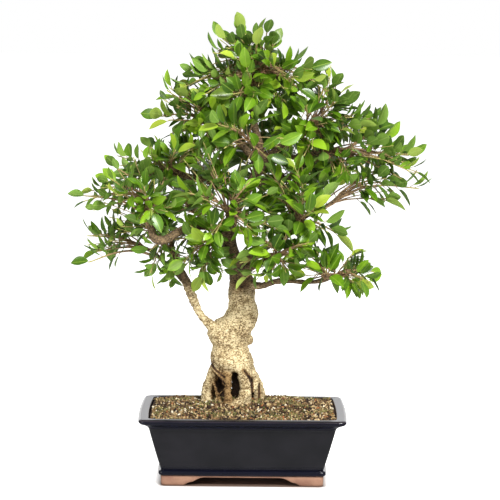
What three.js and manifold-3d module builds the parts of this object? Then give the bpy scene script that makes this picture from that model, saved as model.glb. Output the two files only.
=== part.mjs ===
// A ficus bonsai in a glazed rectangular pot: one solid for each physical piece, in millimetres, +Z up.
// The tree's limbs fan out into pads of foliage, and every pad carries leafy shoots placed by a rule.
import * as THREE from "three";
import { mergeVertices } from "three/addons/utils/BufferGeometryUtils.js";
import Module from "manifold-3d";

const wasm = await Module();
wasm.setup();

// Driving sizes of the pot
const POT_WIDTH = 410;
const POT_DEPTH = 290;
const POT_HEIGHT = 139;
const RIM_WIDTH = 19.5;
const RIM_CORNER_RADIUS = 12;
const RIM_BOW = 3.5;
const FOOT_INSET = 43;
const FOOT_HEIGHT = 20;
const FOOT_THICKNESS = 15;
const FOOT_WIDTH = 46;
const WALL_THICKNESS = 8.5;
const FLOOR_TOP = 30;
const FLOOR_UNDERSIDE = 18;
const DRAIN_RADIUS = 11;
const DRAIN_SPACING = 160;

// Driving sizes of the filling and of the small pieces in the pot
const SOIL_EDGE_DROP = 6;
const SOIL_MOUND_HEIGHT = 13;
const SCREEN_SIDE = 46;
const SCREEN_THICKNESS = 1.2;
const SCREEN_HOLES = 3;
const GAP = 0.4;

// Driving sizes of the tree
const TREE_X = -18;
const TREE_Y = 45;
const ROOT_DEPTH = 26;
const LEAF_LENGTH = 52;
const LEAF_WIDTH_SHARE = 0.44;
const LEAF_THICKNESS = 1.3;
const TWIG_RADIUS = 1.9;
const SEED = 20;

const UP = new THREE.Vector3(0, 0, 1);
const GOLDEN_ANGLE = THREE.MathUtils.degToRad(137.5);

const point = (x, y, z) => new THREE.Vector3(x, y, z);
const mix = (a, b, t) => a + (b - a) * t;

// Seeded random numbers: a multiplicative generator that gives the same draws everywhere.
class Dice {
  constructor(seed) {
    this.state = (seed * 7919 + 104729) % 2147483647;
    this.roll();
    this.roll();
  }

  roll() {
    this.state = (this.state * 48271) % 2147483647;
    return this.state / 2147483647;
  }

  between(low, high) {
    return low + (high - low) * this.roll();
  }

  spread(reach) {
    return point(this.between(-reach, reach), this.between(-reach, reach), this.between(-reach, reach));
  }
}

// Solids

// A closed solid for manifold-3d from a closed geometry.
function solid(geometry) {
  const bare = new THREE.BufferGeometry()
    .setAttribute("position", geometry.getAttribute("position"))
    .setIndex(geometry.index);
  const merged = mergeVertices(bare, 1e-4);
  return new wasm.Manifold(
    new wasm.Mesh({
      numProp: 3,
      vertProperties: new Float32Array(merged.attributes.position.array),
      triVerts: new Uint32Array(merged.index.array),
    }),
  );
}

// The geometry of a finished solid.
function geometryOf(made) {
  const mesh = made.getMesh();
  const positions = new Float32Array(mesh.numVert * 3);
  for (let i = 0; i < mesh.numVert; i++) {
    positions.set(mesh.vertProperties.subarray(i * mesh.numProp, i * mesh.numProp + 3), i * 3);
  }
  const geometry = new THREE.BufferGeometry();
  geometry.setAttribute("position", new THREE.BufferAttribute(positions, 3));
  geometry.setIndex(new THREE.BufferAttribute(new Uint32Array(mesh.triVerts), 1));
  geometry.computeVertexNormals();
  return geometry;
}

const union = (solids) => solids.reduce((whole, next) => whole.add(next));

// A closed skin through rings of equal point count, each ring anticlockwise seen from the end it runs to.
// A fan from the ring's first point closes each end.
function loft(rings) {
  const sides = rings[0].length;
  const index = [];
  for (let r = 0; r + 1 < rings.length; r++) {
    for (let s = 0; s < sides; s++) {
      const a = r * sides + s;
      const b = r * sides + ((s + 1) % sides);
      index.push(a, b, b + sides, a, b + sides, a + sides);
    }
  }
  const last = (rings.length - 1) * sides;
  for (let s = 1; s + 1 < sides; s++) {
    index.push(0, s + 1, s);
    index.push(last, last + s, last + s + 1);
  }
  const geometry = new THREE.BufferGeometry();
  const positions = rings.flat().flatMap((p) => [p.x, p.y, p.z]);
  geometry.setAttribute("position", new THREE.BufferAttribute(new Float32Array(positions), 3));
  geometry.setIndex(index);
  return geometry;
}

// A unit vector square to the given direction.
function squareTo(direction) {
  const spare = Math.abs(direction.z) < 0.9 ? UP : point(1, 0, 0);
  return new THREE.Vector3().crossVectors(direction, spare).normalize();
}

// A tapering stem: at each point of its path a polygon of the given radius stands square to the stem's
// way there.
function stem({ path, widths, ways }, sides) {
  let across = null;
  const rings = path.map((p, i) => {
    const ahead = path[Math.min(i + 1, path.length - 1)];
    const behind = path[Math.max(i - 1, 0)];
    const way = ways ? ways[i] : ahead.clone().sub(behind).normalize();
    across = across ? across.clone().addScaledVector(way, -across.dot(way)).normalize() : squareTo(way);
    const along = new THREE.Vector3().crossVectors(way, across);
    return Array.from({ length: sides }, (_, s) => {
      const angle = (2 * Math.PI * s) / sides;
      return p
        .clone()
        .addScaledVector(across, widths[i] * Math.cos(angle))
        .addScaledVector(along, widths[i] * Math.sin(angle));
    });
  });
  return loft(rings);
}

// Points at even steps of a smooth curve through the given ones, with their radii.
function smooth(points, radii, steps) {
  const curve = new THREE.CatmullRomCurve3(points, false, "catmullrom", 0.5);
  const path = [];
  const widths = [];
  for (let i = 0; i <= steps; i++) {
    const t = i / steps;
    const at = t * (points.length - 1);
    const low = Math.min(Math.floor(at), points.length - 2);
    path.push(curve.getPoint(t));
    widths.push(mix(radii[low], radii[low + 1], at - low));
  }
  return { path, widths };
}

// The pot

const HALF_WIDTH = POT_WIDTH / 2;
const HALF_DEPTH = POT_DEPTH / 2;

// The pot's outline at one height, set in from the rim's edge: a rectangle with round corners and bowed
// sides.
function potOutline(inset, height) {
  const halfX = HALF_WIDTH - inset;
  const halfY = HALF_DEPTH - inset;
  const radius = Math.max(5, RIM_CORNER_RADIUS - inset * 0.1);
  const bow = RIM_BOW * (1 - Math.min(inset / 60, 1) * 0.7);
  const corners = [
    [1, 1, 0],
    [-1, 1, 1],
    [-1, -1, 2],
    [1, -1, 3],
  ];
  return corners.flatMap(([signX, signY, quarter]) => {
    const arc = [0, 1, 2].map((step) => {
      const angle = (quarter + step / 2) * (Math.PI / 2);
      const x = signX * (halfX - radius) + radius * Math.cos(angle);
      const y = signY * (halfY - radius) + radius * Math.sin(angle);
      return point(x, y, height);
    });
    const sideMiddle = [
      point(0, halfY + bow, height),
      point(-halfX - bow, 0, height),
      point(0, -halfY - bow, height),
      point(halfX + bow, 0, height),
    ][quarter];
    return [...arc, sideMiddle];
  });
}

// Insets and heights of the outside, from the foot's sole up over the bead, wall and lip to the rim's
// inner edge.
const OUTSIDE = [
  [FOOT_INSET + 1.5, 0],
  [FOOT_INSET, 2],
  [FOOT_INSET, FOOT_HEIGHT],
  [FOOT_INSET - 3.4, FOOT_HEIGHT + 1.2],
  [FOOT_INSET - 4.4, FOOT_HEIGHT + 4],
  [FOOT_INSET - 3.6, FOOT_HEIGHT + 8],
  [FOOT_INSET, FOOT_HEIGHT + 11],
  [FOOT_INSET - 20.5, POT_HEIGHT - 23],
  [FOOT_INSET - 24, POT_HEIGHT - 18],
  [FOOT_INSET - 31, POT_HEIGHT - 13],
  [4.5, POT_HEIGHT - 9.5],
  [0.8, POT_HEIGHT - 8],
  [0, POT_HEIGHT - 5],
  [0.8, POT_HEIGHT - 1.8],
  [3, POT_HEIGHT],
  [RIM_WIDTH - 1.5, POT_HEIGHT],
  [RIM_WIDTH, POT_HEIGHT - 1.5],
];
const INSIDE_TOP_INSET = FOOT_INSET - 20.5 + WALL_THICKNESS;
const INSIDE_FLOOR_INSET = FOOT_INSET + WALL_THICKNESS;
const INSIDE = [
  [RIM_WIDTH + 2, POT_HEIGHT - 8],
  [INSIDE_TOP_INSET, POT_HEIGHT - 23],
  [INSIDE_FLOOR_INSET, FLOOR_TOP + 6],
  [INSIDE_FLOOR_INSET + 6, FLOOR_TOP],
];

// The tunnel under the pot between its feet, seen along it: level at the top, with a stepped curve at
// each foot.
function footTunnel(halfBottom, length) {
  const top = FLOOR_UNDERSIDE - 1.5;
  const half = [
    [halfBottom, -1],
    [halfBottom, 0.6],
    [halfBottom - 5, 2.5],
    [halfBottom - 10, 5.6],
    [halfBottom - 17, 7],
    [halfBottom - 25, 11.5],
    [halfBottom - 33, 15.4],
    [halfBottom - 40, top],
  ];
  const outline = [...half, ...half.map(([x, y]) => [-x, y]).reverse()];
  const shape = new THREE.Shape(outline.map(([x, y]) => new THREE.Vector2(x, y)));
  const block = new THREE.ExtrudeGeometry(shape, { depth: length, bevelEnabled: false });
  block.translate(0, 0, -length / 2);
  block.rotateX(Math.PI / 2);
  return block;
}

function potSolid() {
  const rings = [...OUTSIDE, ...INSIDE].map(([inset, height]) => potOutline(inset, height));
  const shell = solid(loft(rings));
  const recessInset = FOOT_INSET + FOOT_THICKNESS;
  const recess = loft([potOutline(recessInset - 0.5, -1), potOutline(recessInset, FLOOR_UNDERSIDE)]);
  const lengthwise = footTunnel(HALF_WIDTH - FOOT_INSET - FOOT_WIDTH, POT_DEPTH);
  const crosswise = footTunnel(HALF_DEPTH - FOOT_INSET - FOOT_WIDTH, POT_WIDTH).rotateZ(Math.PI / 2);
  const drains = [-1, 1].map((side) => {
    const drain = new THREE.CylinderGeometry(DRAIN_RADIUS, DRAIN_RADIUS, 40, 16);
    return drain.rotateX(Math.PI / 2).translate((side * DRAIN_SPACING) / 2, 0, FLOOR_TOP);
  });
  return [recess, lengthwise, crosswise, ...drains].reduce((pot, cut) => pot.subtract(solid(cut)), shell);
}

// A square of plastic mesh that keeps the filling from running out of a drain hole.
function screenSolid(side) {
  const pitch = (DRAIN_RADIUS * 2.6) / SCREEN_HOLES;
  const plate = solid(new THREE.BoxGeometry(SCREEN_SIDE, SCREEN_SIDE, SCREEN_THICKNESS));
  const holes = Array.from({ length: SCREEN_HOLES ** 2 }, (_, i) => {
    const column = (i % SCREEN_HOLES) - (SCREEN_HOLES - 1) / 2;
    const row = Math.floor(i / SCREEN_HOLES) - (SCREEN_HOLES - 1) / 2;
    const hole = new THREE.BoxGeometry(pitch * 0.7, pitch * 0.7, SCREEN_THICKNESS * 3);
    return solid(hole.translate(column * pitch, row * pitch, 0));
  });
  const height = FLOOR_TOP + GAP + SCREEN_THICKNESS / 2;
  return plate.subtract(union(holes)).translate([(side * DRAIN_SPACING) / 2, 0, height]);
}

// The tree's trunk and limbs

// Centre and half widths of the trunk, from the vault over the roots up to the knot where the crown's
// limbs part.
const TRUNK = [
  { at: point(-20, 45, 212), wide: 40, deep: 34 },
  { at: point(-24, 45, 225), wide: 43, deep: 38 },
  { at: point(-27, 45, 242), wide: 39, deep: 36 },
  { at: point(-28, 45, 258), wide: 34.5, deep: 33 },
  { at: point(-30, 45, 271), wide: 37, deep: 34 },
  { at: point(-29, 45, 285), wide: 43, deep: 36 },
  { at: point(-21, 45, 299), wide: 45, deep: 36 },
  { at: point(-12, 45, 312), wide: 40, deep: 34 },
  { at: point(-3, 45, 324), wide: 33, deep: 31 },
  { at: point(0, 45, 337), wide: 29, deep: 28 },
  { at: point(-3, 45, 353), wide: 26, deep: 26 },
  { at: point(-3, 45, 374), wide: 26, deep: 25 },
  { at: point(-6, 45, 396), wide: 24, deep: 23 },
  { at: point(-12, 45, 420), wide: 19, deep: 19 },
  { at: point(-26, 42, 451), wide: 16, deep: 16 },
  { at: point(-31, 40, 482), wide: 14, deep: 14 },
  { at: point(-25, 38, 521), wide: 13, deep: 13 },
  { at: point(-7, 36, 558), wide: 12.5, deep: 12.5 },
  { at: point(12, 34, 593), wide: 12, deep: 12 },
  { at: point(25, 32, 616), wide: 12, deep: 12 },
  { at: point(34, 30, 640), wide: 13, deep: 13 },
];
const TRUNK_SIDES = 12;
const TRUNK_LOBE_SHARE = 0.05;

// A root or limb by rows of x, y, z and the radius there.
const line = (...rows) => ({
  points: rows.map(([x, y, z]) => point(x, y, z)),
  radii: rows.map(([, , , radius]) => radius),
});

// Surface roots, from inside the trunk down to the soil, with two in the core behind the front ones, and
// the thin ones that hang between them.
const ROOTS = [
  line([-49, 38, 240, 17], [-54, 40, 214, 15], [-66, 42, 188, 13], [-74, 44, 168, 12], [-73, 46, 146, 13]),
  line([-29, 30, 230, 12], [-31, 13, 198, 9], [-30, 9, 170, 8], [-30, 7, 146, 9]),
  line([-6, 30, 238, 19], [3, 19, 205, 16], [6, 16, 175, 14.5], [2, 14, 146, 16]),
  line([-7, 46, 244, 18], [2, 47, 226, 14], [15, 50, 204, 13.5], [25, 52, 176, 12.5], [30, 54, 146, 14]),
  line([17, 58, 198, 9.5], [29, 65, 170, 8], [35, 69, 146, 9]),
  line([-36, 60, 236, 19], [-39, 68, 190, 16], [-40, 72, 146, 17]),
  line([-8, 62, 236, 19], [-6, 68, 190, 17], [-6, 72, 146, 18]),
  line([-40, 60, 236, 18], [-54, 76, 202, 14], [-62, 86, 172, 13], [-65, 91, 146, 13]),
  line([-18, 66, 236, 19], [-15, 86, 202, 15], [-12, 96, 172, 13], [-10, 101, 146, 14]),
  line([-2, 60, 236, 16], [13, 76, 202, 13], [29, 86, 172, 12], [35, 91, 146, 12]),
];
const ROOT_STRANDS = [
  line([-62, 34, 226, 5], [-52, 20, 210, 5], [-34, 17, 195, 5]),
  line([-62, 38, 196, 3.5], [-55, 26, 172, 3], [-47, 20, 146, 3.5]),
  line([27, 30, 192, 6], [21, 14, 176, 6.5], [4, 2, 160, 6.5], [-14, -2, 146, 7]),
];
const KNOB = { at: point(9, 40, 273), radius: 10 };

// Limbs, each from inside what it grows from to the place where its shoots part.
const LIMBS = {
  leftLow: line(
    [-50, 42, 286, 12], [-85, 20, 322, 8], [-102, 5, 359, 7.6], [-120, -12, 406, 8],
    [-137, -20, 440, 6.5], [-146, -25, 480, 5],
  ),
  leftFork: line(
    [-114, -8, 394, 6], [-154, -10, 430, 4.8], [-187, 0, 457, 4.2], [-222, 5, 470, 3.8],
  ),
  bend: line(
    [-31, 38, 486, 10], [-75, 0, 508, 9], [-118, -50, 507, 8.5], [-156, -86, 489, 9],
    [-178, -86, 494, 9], [-188, -66, 530, 7], [-195, -45, 560, 5.5],
  ),
  leftHigh: line(
    [-10, 36, 552, 9], [-62, 34, 590, 6.5], [-115, 24, 606, 5.5], [-160, 12, 612, 5],
  ),
  lowRight: line(
    [2, 42, 384, 11], [37, 20, 387, 7], [67, 5, 397, 5.5], [113, 0, 397, 4.4], [153, 0, 399, 4],
    [182, 2, 410, 3.6],
  ),
  rightMid: line(
    [-8, 45, 420, 12], [30, 20, 455, 8.5], [75, -10, 490, 7], [108, -26, 516, 5.5],
  ),
  rightLong: line(
    [74, -10, 489, 6], [125, -2, 530, 4.6], [165, 8, 550, 4.2], [205, 15, 578, 3.8],
  ),
  crownLeft: line(
    [30, 30, 630, 10], [0, 38, 662, 7.5], [-34, 42, 692, 6], [-66, 44, 708, 5],
  ),
  crownTop: line(
    [34, 30, 634, 11], [26, 26, 680, 8.5], [16, 28, 722, 7], [20, 30, 770, 6], [28, 30, 810, 4.6],
  ),
  crownRight: line(
    [34, 30, 632, 11], [70, 20, 666, 8], [105, 12, 690, 6.5], [132, 10, 706, 5],
  ),
  rightHigh: line(
    [36, 30, 632, 8], [95, 24, 646, 5], [145, 22, 658, 4.5], [190, 20, 656, 4],
  ),
  front: line(
    [-28, 36, 500, 10], [-30, 0, 518, 7.5], [-31, -40, 532, 6.5], [-32, -70, 544, 5.5],
  ),
  frontHigh: line(
    [34, 30, 636, 9], [26, -8, 652, 6.5], [16, -44, 672, 5.5], [8, -66, 684, 4.8],
  ),
  back: line(
    [-4, 40, 560, 10], [10, 85, 584, 7.5], [24, 120, 602, 6], [32, 145, 612, 5],
  ),
  backLeft: line(
    [-27, 44, 468, 10], [-62, 84, 498, 6.5], [-92, 110, 518, 5.5], [-110, 124, 532, 4.5],
  ),
  backRight: line(
    [12, 36, 590, 9], [50, 66, 596, 6], [84, 92, 600, 5], [104, 108, 604, 4.5],
  ),
  lowFront: line(
    [-4, 34, 412, 10], [22, -6, 430, 7], [46, -36, 446, 5.5], [64, -54, 456, 4.8],
  ),
  lowLeft: line(
    [-24, 40, 448, 9], [-46, 4, 462, 6.5], [-62, -28, 474, 5.2], [-70, -48, 482, 4.6],
  ),
};
const ROOT_SIDES = 6;
const STRAND_SIDES = 4;
const LIMB_SIDES = 5;

// Pads of foliage: the limb that each grows from, its middle and half sizes, the way it faces, how many
// shoots are spread over that half, the shoots that reach furthest, and how large its leaves are.
const PADS = [
  {
    limb: "crownTop",
    middle: point(28, 30, 846),
    half: point(38, 40, 52),
    faces: point(0, 0, 1),
    shoots: 1,
    tips: [point(-2, 30, 892), point(52, 22, 868)],
    leaf: 1,
  },
  {
    limb: "crownTop",
    middle: point(12, 30, 772),
    half: point(112, 128, 72),
    faces: point(0, 0, 1),
    shoots: 6,
    tips: [point(-100, 34, 806)],
    leaf: 1,
  },
  {
    limb: "crownRight",
    middle: point(154, 10, 722),
    half: point(74, 84, 66),
    faces: point(0.8, -0.2, 0.7),
    shoots: 2,
    tips: [point(176, 18, 786)],
    leaf: 1,
  },
  {
    limb: "crownLeft",
    middle: point(-92, 40, 716),
    half: point(78, 84, 60),
    faces: point(-0.8, -0.1, 0.8),
    shoots: 2,
    tips: [point(-166, 36, 726)],
    leaf: 0.92,
  },
  {
    limb: "bend",
    middle: point(-214, -40, 590),
    half: point(88, 74, 62),
    faces: point(-0.5, -0.4, 0.8),
    shoots: 3,
    tips: [point(-316, -14, 568)],
    leaf: 0.8,
  },
  {
    limb: "leftHigh",
    middle: point(-196, 20, 622),
    half: point(82, 84, 50),
    faces: point(-0.7, 0.4, 0.8),
    shoots: 2,
    tips: [],
    leaf: 0.8,
  },
  {
    limb: "leftFork",
    middle: point(-262, 8, 478),
    half: point(64, 60, 34),
    faces: point(-1, 0, 0.25),
    shoots: 1,
    tips: [point(-306, 10, 474), point(-284, -14, 446)],
    leaf: 0.8,
  },
  {
    limb: "leftLow",
    middle: point(-150, -22, 478),
    half: point(48, 56, 44),
    faces: point(-0.1, -0.5, 0.4),
    shoots: 1,
    tips: [],
    leaf: 0.82,
  },
  {
    limb: "front",
    middle: point(-34, -92, 562),
    half: point(92, 56, 74),
    faces: point(0, -1, 0.55),
    shoots: 3,
    tips: [],
    leaf: 0.95,
  },
  {
    limb: "frontHigh",
    middle: point(6, -84, 692),
    half: point(84, 52, 58),
    faces: point(0, -1, 0.5),
    shoots: 2,
    tips: [],
    leaf: 1,
  },
  {
    limb: "rightMid",
    middle: point(132, -34, 528),
    half: point(66, 76, 60),
    faces: point(0.6, -0.6, 0.5),
    shoots: 2,
    tips: [],
    leaf: 1.05,
  },
  {
    limb: "rightLong",
    middle: point(262, 20, 592),
    half: point(72, 56, 44),
    faces: point(1, 0, 0.15),
    shoots: 1,
    tips: [point(342, 20, 586)],
    leaf: 1.05,
  },
  {
    limb: "rightHigh",
    middle: point(256, 18, 664),
    half: point(70, 64, 48),
    faces: point(1, 0, 0.3),
    shoots: 1,
    tips: [point(326, 20, 654)],
    leaf: 1.05,
  },
  {
    limb: "lowRight",
    middle: point(214, 4, 416),
    half: point(48, 52, 30),
    faces: point(1, 0, 0.4),
    shoots: 1,
    tips: [point(238, -6, 408)],
    leaf: 0.92,
  },
  {
    limb: "back",
    middle: point(34, 168, 624),
    half: point(104, 50, 84),
    faces: point(0, 1, 0.5),
    shoots: 3,
    tips: [],
    leaf: 1,
  },
  {
    limb: "backLeft",
    middle: point(-126, 138, 548),
    half: point(76, 56, 50),
    faces: point(-0.6, 1, 0.5),
    shoots: 2,
    tips: [],
    leaf: 0.88,
  },
  {
    limb: "backRight",
    middle: point(128, 126, 606),
    half: point(72, 56, 50),
    faces: point(0.7, 1, 0.4),
    shoots: 2,
    tips: [],
    leaf: 1,
  },
  {
    limb: "lowFront",
    middle: point(66, -70, 474),
    half: point(92, 46, 46),
    faces: point(0.1, -1, 0.35),
    shoots: 3,
    tips: [],
    leaf: 1,
  },
  {
    limb: "lowLeft",
    middle: point(-84, -62, 490),
    half: point(70, 44, 46),
    faces: point(-0.3, -1, 0.2),
    shoots: 2,
    tips: [],
    leaf: 0.95,
  },
  {
    limb: "lowRight",
    middle: point(128, -14, 432),
    half: point(58, 46, 34),
    faces: point(0.2, -1, 0.5),
    shoots: 2,
    tips: [],
    leaf: 0.95,
  },
  {
    limb: "leftHigh",
    middle: point(-112, -6, 652),
    half: point(62, 60, 44),
    faces: point(-0.1, -0.6, 0.9),
    shoots: 2,
    tips: [],
    leaf: 0.95,
  },
];

// One ring of the trunk: an ellipse with shallow lobes that turn a little with height.
function trunkRing({ at, wide, deep }) {
  return Array.from({ length: TRUNK_SIDES }, (_, s) => {
    const angle = (2 * Math.PI * s) / TRUNK_SIDES;
    const swell = 1 + TRUNK_LOBE_SHARE * Math.sin(3 * angle + at.z / 30);
    return point(at.x + wide * swell * Math.cos(angle), at.y + deep * swell * Math.sin(angle), at.z);
  });
}

// The roots down to the soil and on into it, each widened by the clearance given.
function rootStems(clearance) {
  return ROOTS.map(({ points, radii }) => {
    const foot = points[points.length - 1];
    const sunk = foot.clone().setZ(foot.z - ROOT_DEPTH - clearance);
    const wide = [...radii, radii[radii.length - 1] * 0.75].map((radius) => radius + clearance);
    return solid(stem(smooth([...points, sunk], wide, points.length + 1), ROOT_SIDES));
  });
}

const strandStems = (clearance) =>
  ROOT_STRANDS.map(({ points, radii }) => {
    const foot = points[points.length - 1];
    const sunk = foot.clone().setZ(foot.z - 8 - clearance);
    const widths = [...radii, radii[radii.length - 1]].map((radius) => radius + clearance);
    return solid(stem({ path: [...points, sunk], widths }, STRAND_SIDES));
  });

const limbLine = ({ points, radii }) => smooth(points, radii, points.length);

// Leafy shoots

// A leaf's outline: share of the length from base to tip, and share of the half width. It starts as a
// stalk.
const LEAF_OUTLINE = [
  [0.2, 0.14],
  [0.52, 1],
  [0.8, 0.66],
];
const LEAF_RIB_SHARE = 0.5;
const LEAF_FOLD = 0.1;
const LEAF_SAG = 0.16;
const LEAF_DRAWS = 40;
const LEAVES_ON_SHOOT = 10;
const LEAVES_FROM = 0.3;
const SHOOT_DRAWS = 60;
const SHOOT_START = 0.38;
const TWIG_STEPS = 2;
const TWIG_SIDES = 3;

// The box round a straight piece: its middle, its three directions and half sizes, and the ball round it.
function boxBetween(start, end, normal, halfWide, halfThick) {
  const along = end.clone().sub(start);
  const half = along.length() / 2;
  along.normalize();
  const across = new THREE.Vector3().crossVectors(normal, along).normalize();
  const out = new THREE.Vector3().crossVectors(along, across);
  return {
    middle: start.clone().add(end).multiplyScalar(0.5),
    axes: [along, across, out],
    half: [half, halfWide, halfThick],
    ball: Math.hypot(half, halfWide, halfThick),
  };
}

// Whether two boxes stay apart: some direction, square to a face or to an edge of each, separates them.
function apart(a, b) {
  const between = b.middle.clone().sub(a.middle);
  if (between.length() > a.ball + b.ball) return true;
  const reachAlong = (box, way) =>
    box.axes.reduce((sum, axis, i) => sum + box.half[i] * Math.abs(axis.dot(way)), 0);
  const separates = (way) => Math.abs(between.dot(way)) > reachAlong(a, way) + reachAlong(b, way);
  if (a.axes.some(separates) || b.axes.some(separates)) return true;
  return a.axes.some((u) =>
    b.axes.some((v) => {
      const way = new THREE.Vector3().crossVectors(u, v);
      return way.lengthSq() > 1e-6 && separates(way);
    }),
  );
}

const clearOf = (boxes, others) => boxes.every((box) => others.every((other) => apart(box, other)));

// Boxes along a stem, each a little longer than its length so that bends are covered too.
const stemBoxes = ({ path, widths }, spare) =>
  path.slice(1).map((end, i) => {
    const way = end.clone().sub(path[i]).normalize();
    const width = Math.max(widths[i], widths[i + 1]) + spare;
    const from = path[i].clone().addScaledVector(way, -spare);
    return boxBetween(from, end.clone().addScaledVector(way, spare), squareTo(way), width, width);
  });

// The way out to shoot number i of a pad, spread evenly over the half that the pad faces.
function shootDirection(pad, i) {
  const axis = pad.faces.clone().normalize();
  const across = squareTo(axis);
  const along = new THREE.Vector3().crossVectors(axis, across);
  const height = 1 - ((i + 0.5) / pad.shoots) * 1.25;
  const ring = Math.sqrt(Math.max(0, 1 - height * height));
  const turn = i * GOLDEN_ANGLE + pad.middle.x;
  return axis
    .multiplyScalar(height)
    .addScaledVector(across, ring * Math.cos(turn))
    .addScaledVector(along, ring * Math.sin(turn));
}

// The line of a shoot from its limb to its tip. Later draws stray further from the first place of the
// tip.
function shootCurve(pad, i, draw, dice) {
  const stray = dice.spread(draw * 0.7);
  const way = i < pad.shoots ? shootDirection(pad, i) : pad.faces.clone().normalize();
  const outwards = way.clone().multiply(pad.half).multiplyScalar(dice.between(0.78, 0.9));
  const shell = pad.middle.clone().add(outwards);
  const tip = (i < pad.shoots ? shell : pad.tips[i - pad.shoots].clone()).add(stray);
  const limb = limbLine(LIMBS[pad.limb]).path;
  const last = limb.length - 1;
  const from = limb[last - Math.floor(dice.between(0, 2.4))].clone();
  const limbWay = limb[last].clone().sub(limb[last - 1]).normalize();
  const reach = tip.distanceTo(from);
  const bend = from
    .clone()
    .addScaledVector(limbWay, reach * 0.32)
    .addScaledVector(way, reach * 0.12)
    .addScaledVector(UP, reach * dice.between(0.02, 0.12));
  return new THREE.QuadraticBezierCurve3(from, bend, tip);
}

// Points, radii and directions of a twig at even steps between two shares of a curve.
function twigLine(curve, from, to, root, steps) {
  const at = Array.from({ length: steps + 1 }, (_, step) => step / steps);
  return {
    path: at.map((share) => curve.getPoint(mix(from, to, share))),
    ways: at.map((share) => curve.getTangent(mix(from, to, share))),
    widths: at.map((share) => root * mix(1, 0.62, share)),
  };
}

// A place on a twig's line, the way the twig runs there, and a way out from it, turned round it by an
// angle.
function placeOn({ path }, share, turn) {
  const at = share * (path.length - 1);
  const low = Math.min(Math.floor(at), path.length - 2);
  const base = path[low].clone().lerp(path[low + 1], at - low);
  const way = path[low + 1].clone().sub(path[low]).normalize();
  const across = squareTo(way);
  const along = new THREE.Vector3().crossVectors(way, across);
  const out = across.multiplyScalar(Math.cos(turn)).addScaledVector(along, Math.sin(turn));
  return { base, way, out };
}

// A shoot's stub, which stays on the tree, and its twig, which is a piece of its own.
function shootLines(pad, i, draw, dice) {
  const curve = shootCurve(pad, i, draw, dice);
  const stub = twigLine(curve, 0, SHOOT_START, TWIG_RADIUS * 1.62, 1);
  const twig = twigLine(curve, SHOOT_START, 1, TWIG_RADIUS, TWIG_STEPS);
  twig.path[0].addScaledVector(twig.ways[0], GAP);
  return { pad, stub, twig, stubBoxes: stemBoxes(stub, 1.4), twigBoxes: stemBoxes(twig, 1.4) };
}

// The first drawn lines of a shoot that cross no limb and no other shoot.
function layShoot(pad, i, number, limbBoxes, laid) {
  const dice = new Dice(SEED + number * 31);
  for (let draw = 0; draw < SHOOT_DRAWS; draw++) {
    const shoot = shootLines(pad, i, draw, dice);
    const clear =
      clearOf(shoot.twigBoxes, limbBoxes) &&
      laid.every(
        (other) =>
          clearOf(shoot.twigBoxes, [...other.twigBoxes, ...other.stubBoxes]) &&
          clearOf(shoot.stubBoxes, other.twigBoxes),
      );
    if (clear) return [shoot];
  }
  return [];
}

// A leaf's place: its base, the way it points, its upper face's normal, its length and width.
function leafPlace(line, share, turn, spread, length, dice) {
  const { base, way: ahead, out } = placeOn(line, share, turn);
  const way = ahead
    .clone()
    .multiplyScalar(Math.cos(spread))
    .addScaledVector(out, Math.sin(spread))
    .addScaledVector(UP, 0.18)
    .normalize();
  const face = ahead
    .multiplyScalar(Math.sin(spread))
    .addScaledVector(out, -Math.cos(spread))
    .addScaledVector(UP, 0.55)
    .add(dice.spread(0.35));
  const normal = face.addScaledVector(way, -face.dot(way)).normalize();
  const width = length * LEAF_WIDTH_SHARE * dice.between(0.88, 1.08);
  return { base, way, normal, length, width };
}

// The boxes round a leaf's stalk and round its blade.
function leafBoxes({ base, way, normal, length, width }) {
  const at = (share, rise) => base.clone().addScaledVector(way, share * length).addScaledVector(normal, rise);
  const rise = LEAF_FOLD * width * 0.75;
  const tip = at(1.01, rise - LEAF_SAG * length);
  return {
    stalk: boxBetween(at(0.06, 0), at(0.24, 0), normal, 2, 1.4),
    blade: boxBetween(at(0.2, rise), tip, normal, width * 0.51, 2.7),
  };
}

// Leaves set one after another round a shoot's twig, each in the first of its draws that stands clear
// of what is there.
function leafShoot(shoot, number, taken) {
  const dice = new Dice(SEED * 3 + number * 17);
  const others = taken.filter((box) => !shoot.twigBoxes.includes(box));
  const own = [...shoot.twigBoxes];
  const leaves = [];
  let turn = dice.between(0, 2 * Math.PI);
  for (let i = 0; i < LEAVES_ON_SHOOT; i++) {
    const share = i / (LEAVES_ON_SHOOT - 1);
    turn += GOLDEN_ANGLE;
    for (let draw = 0; draw < LEAF_DRAWS; draw++) {
      const spread = THREE.MathUtils.degToRad(mix(66, 24, share) + dice.between(-10, 10));
      const length = LEAF_LENGTH * shoot.pad.leaf * dice.between(0.86, 1.14) * (1 - draw * 0.008);
      const twist = turn + dice.between(-0.3, 0.3) * (1 + draw * 0.4);
      const leaf = leafPlace(shoot.twig, mix(LEAVES_FROM, 0.97, share), twist, spread, length, dice);
      const { stalk, blade } = leafBoxes(leaf);
      if (clearOf([stalk, blade], others) && clearOf([blade], own)) {
        leaves.push(leaf);
        own.push(blade);
        others.push(stalk, blade);
        taken.push(stalk, blade);
        break;
      }
    }
  }
  return { ...shoot, leaves };
}

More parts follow.
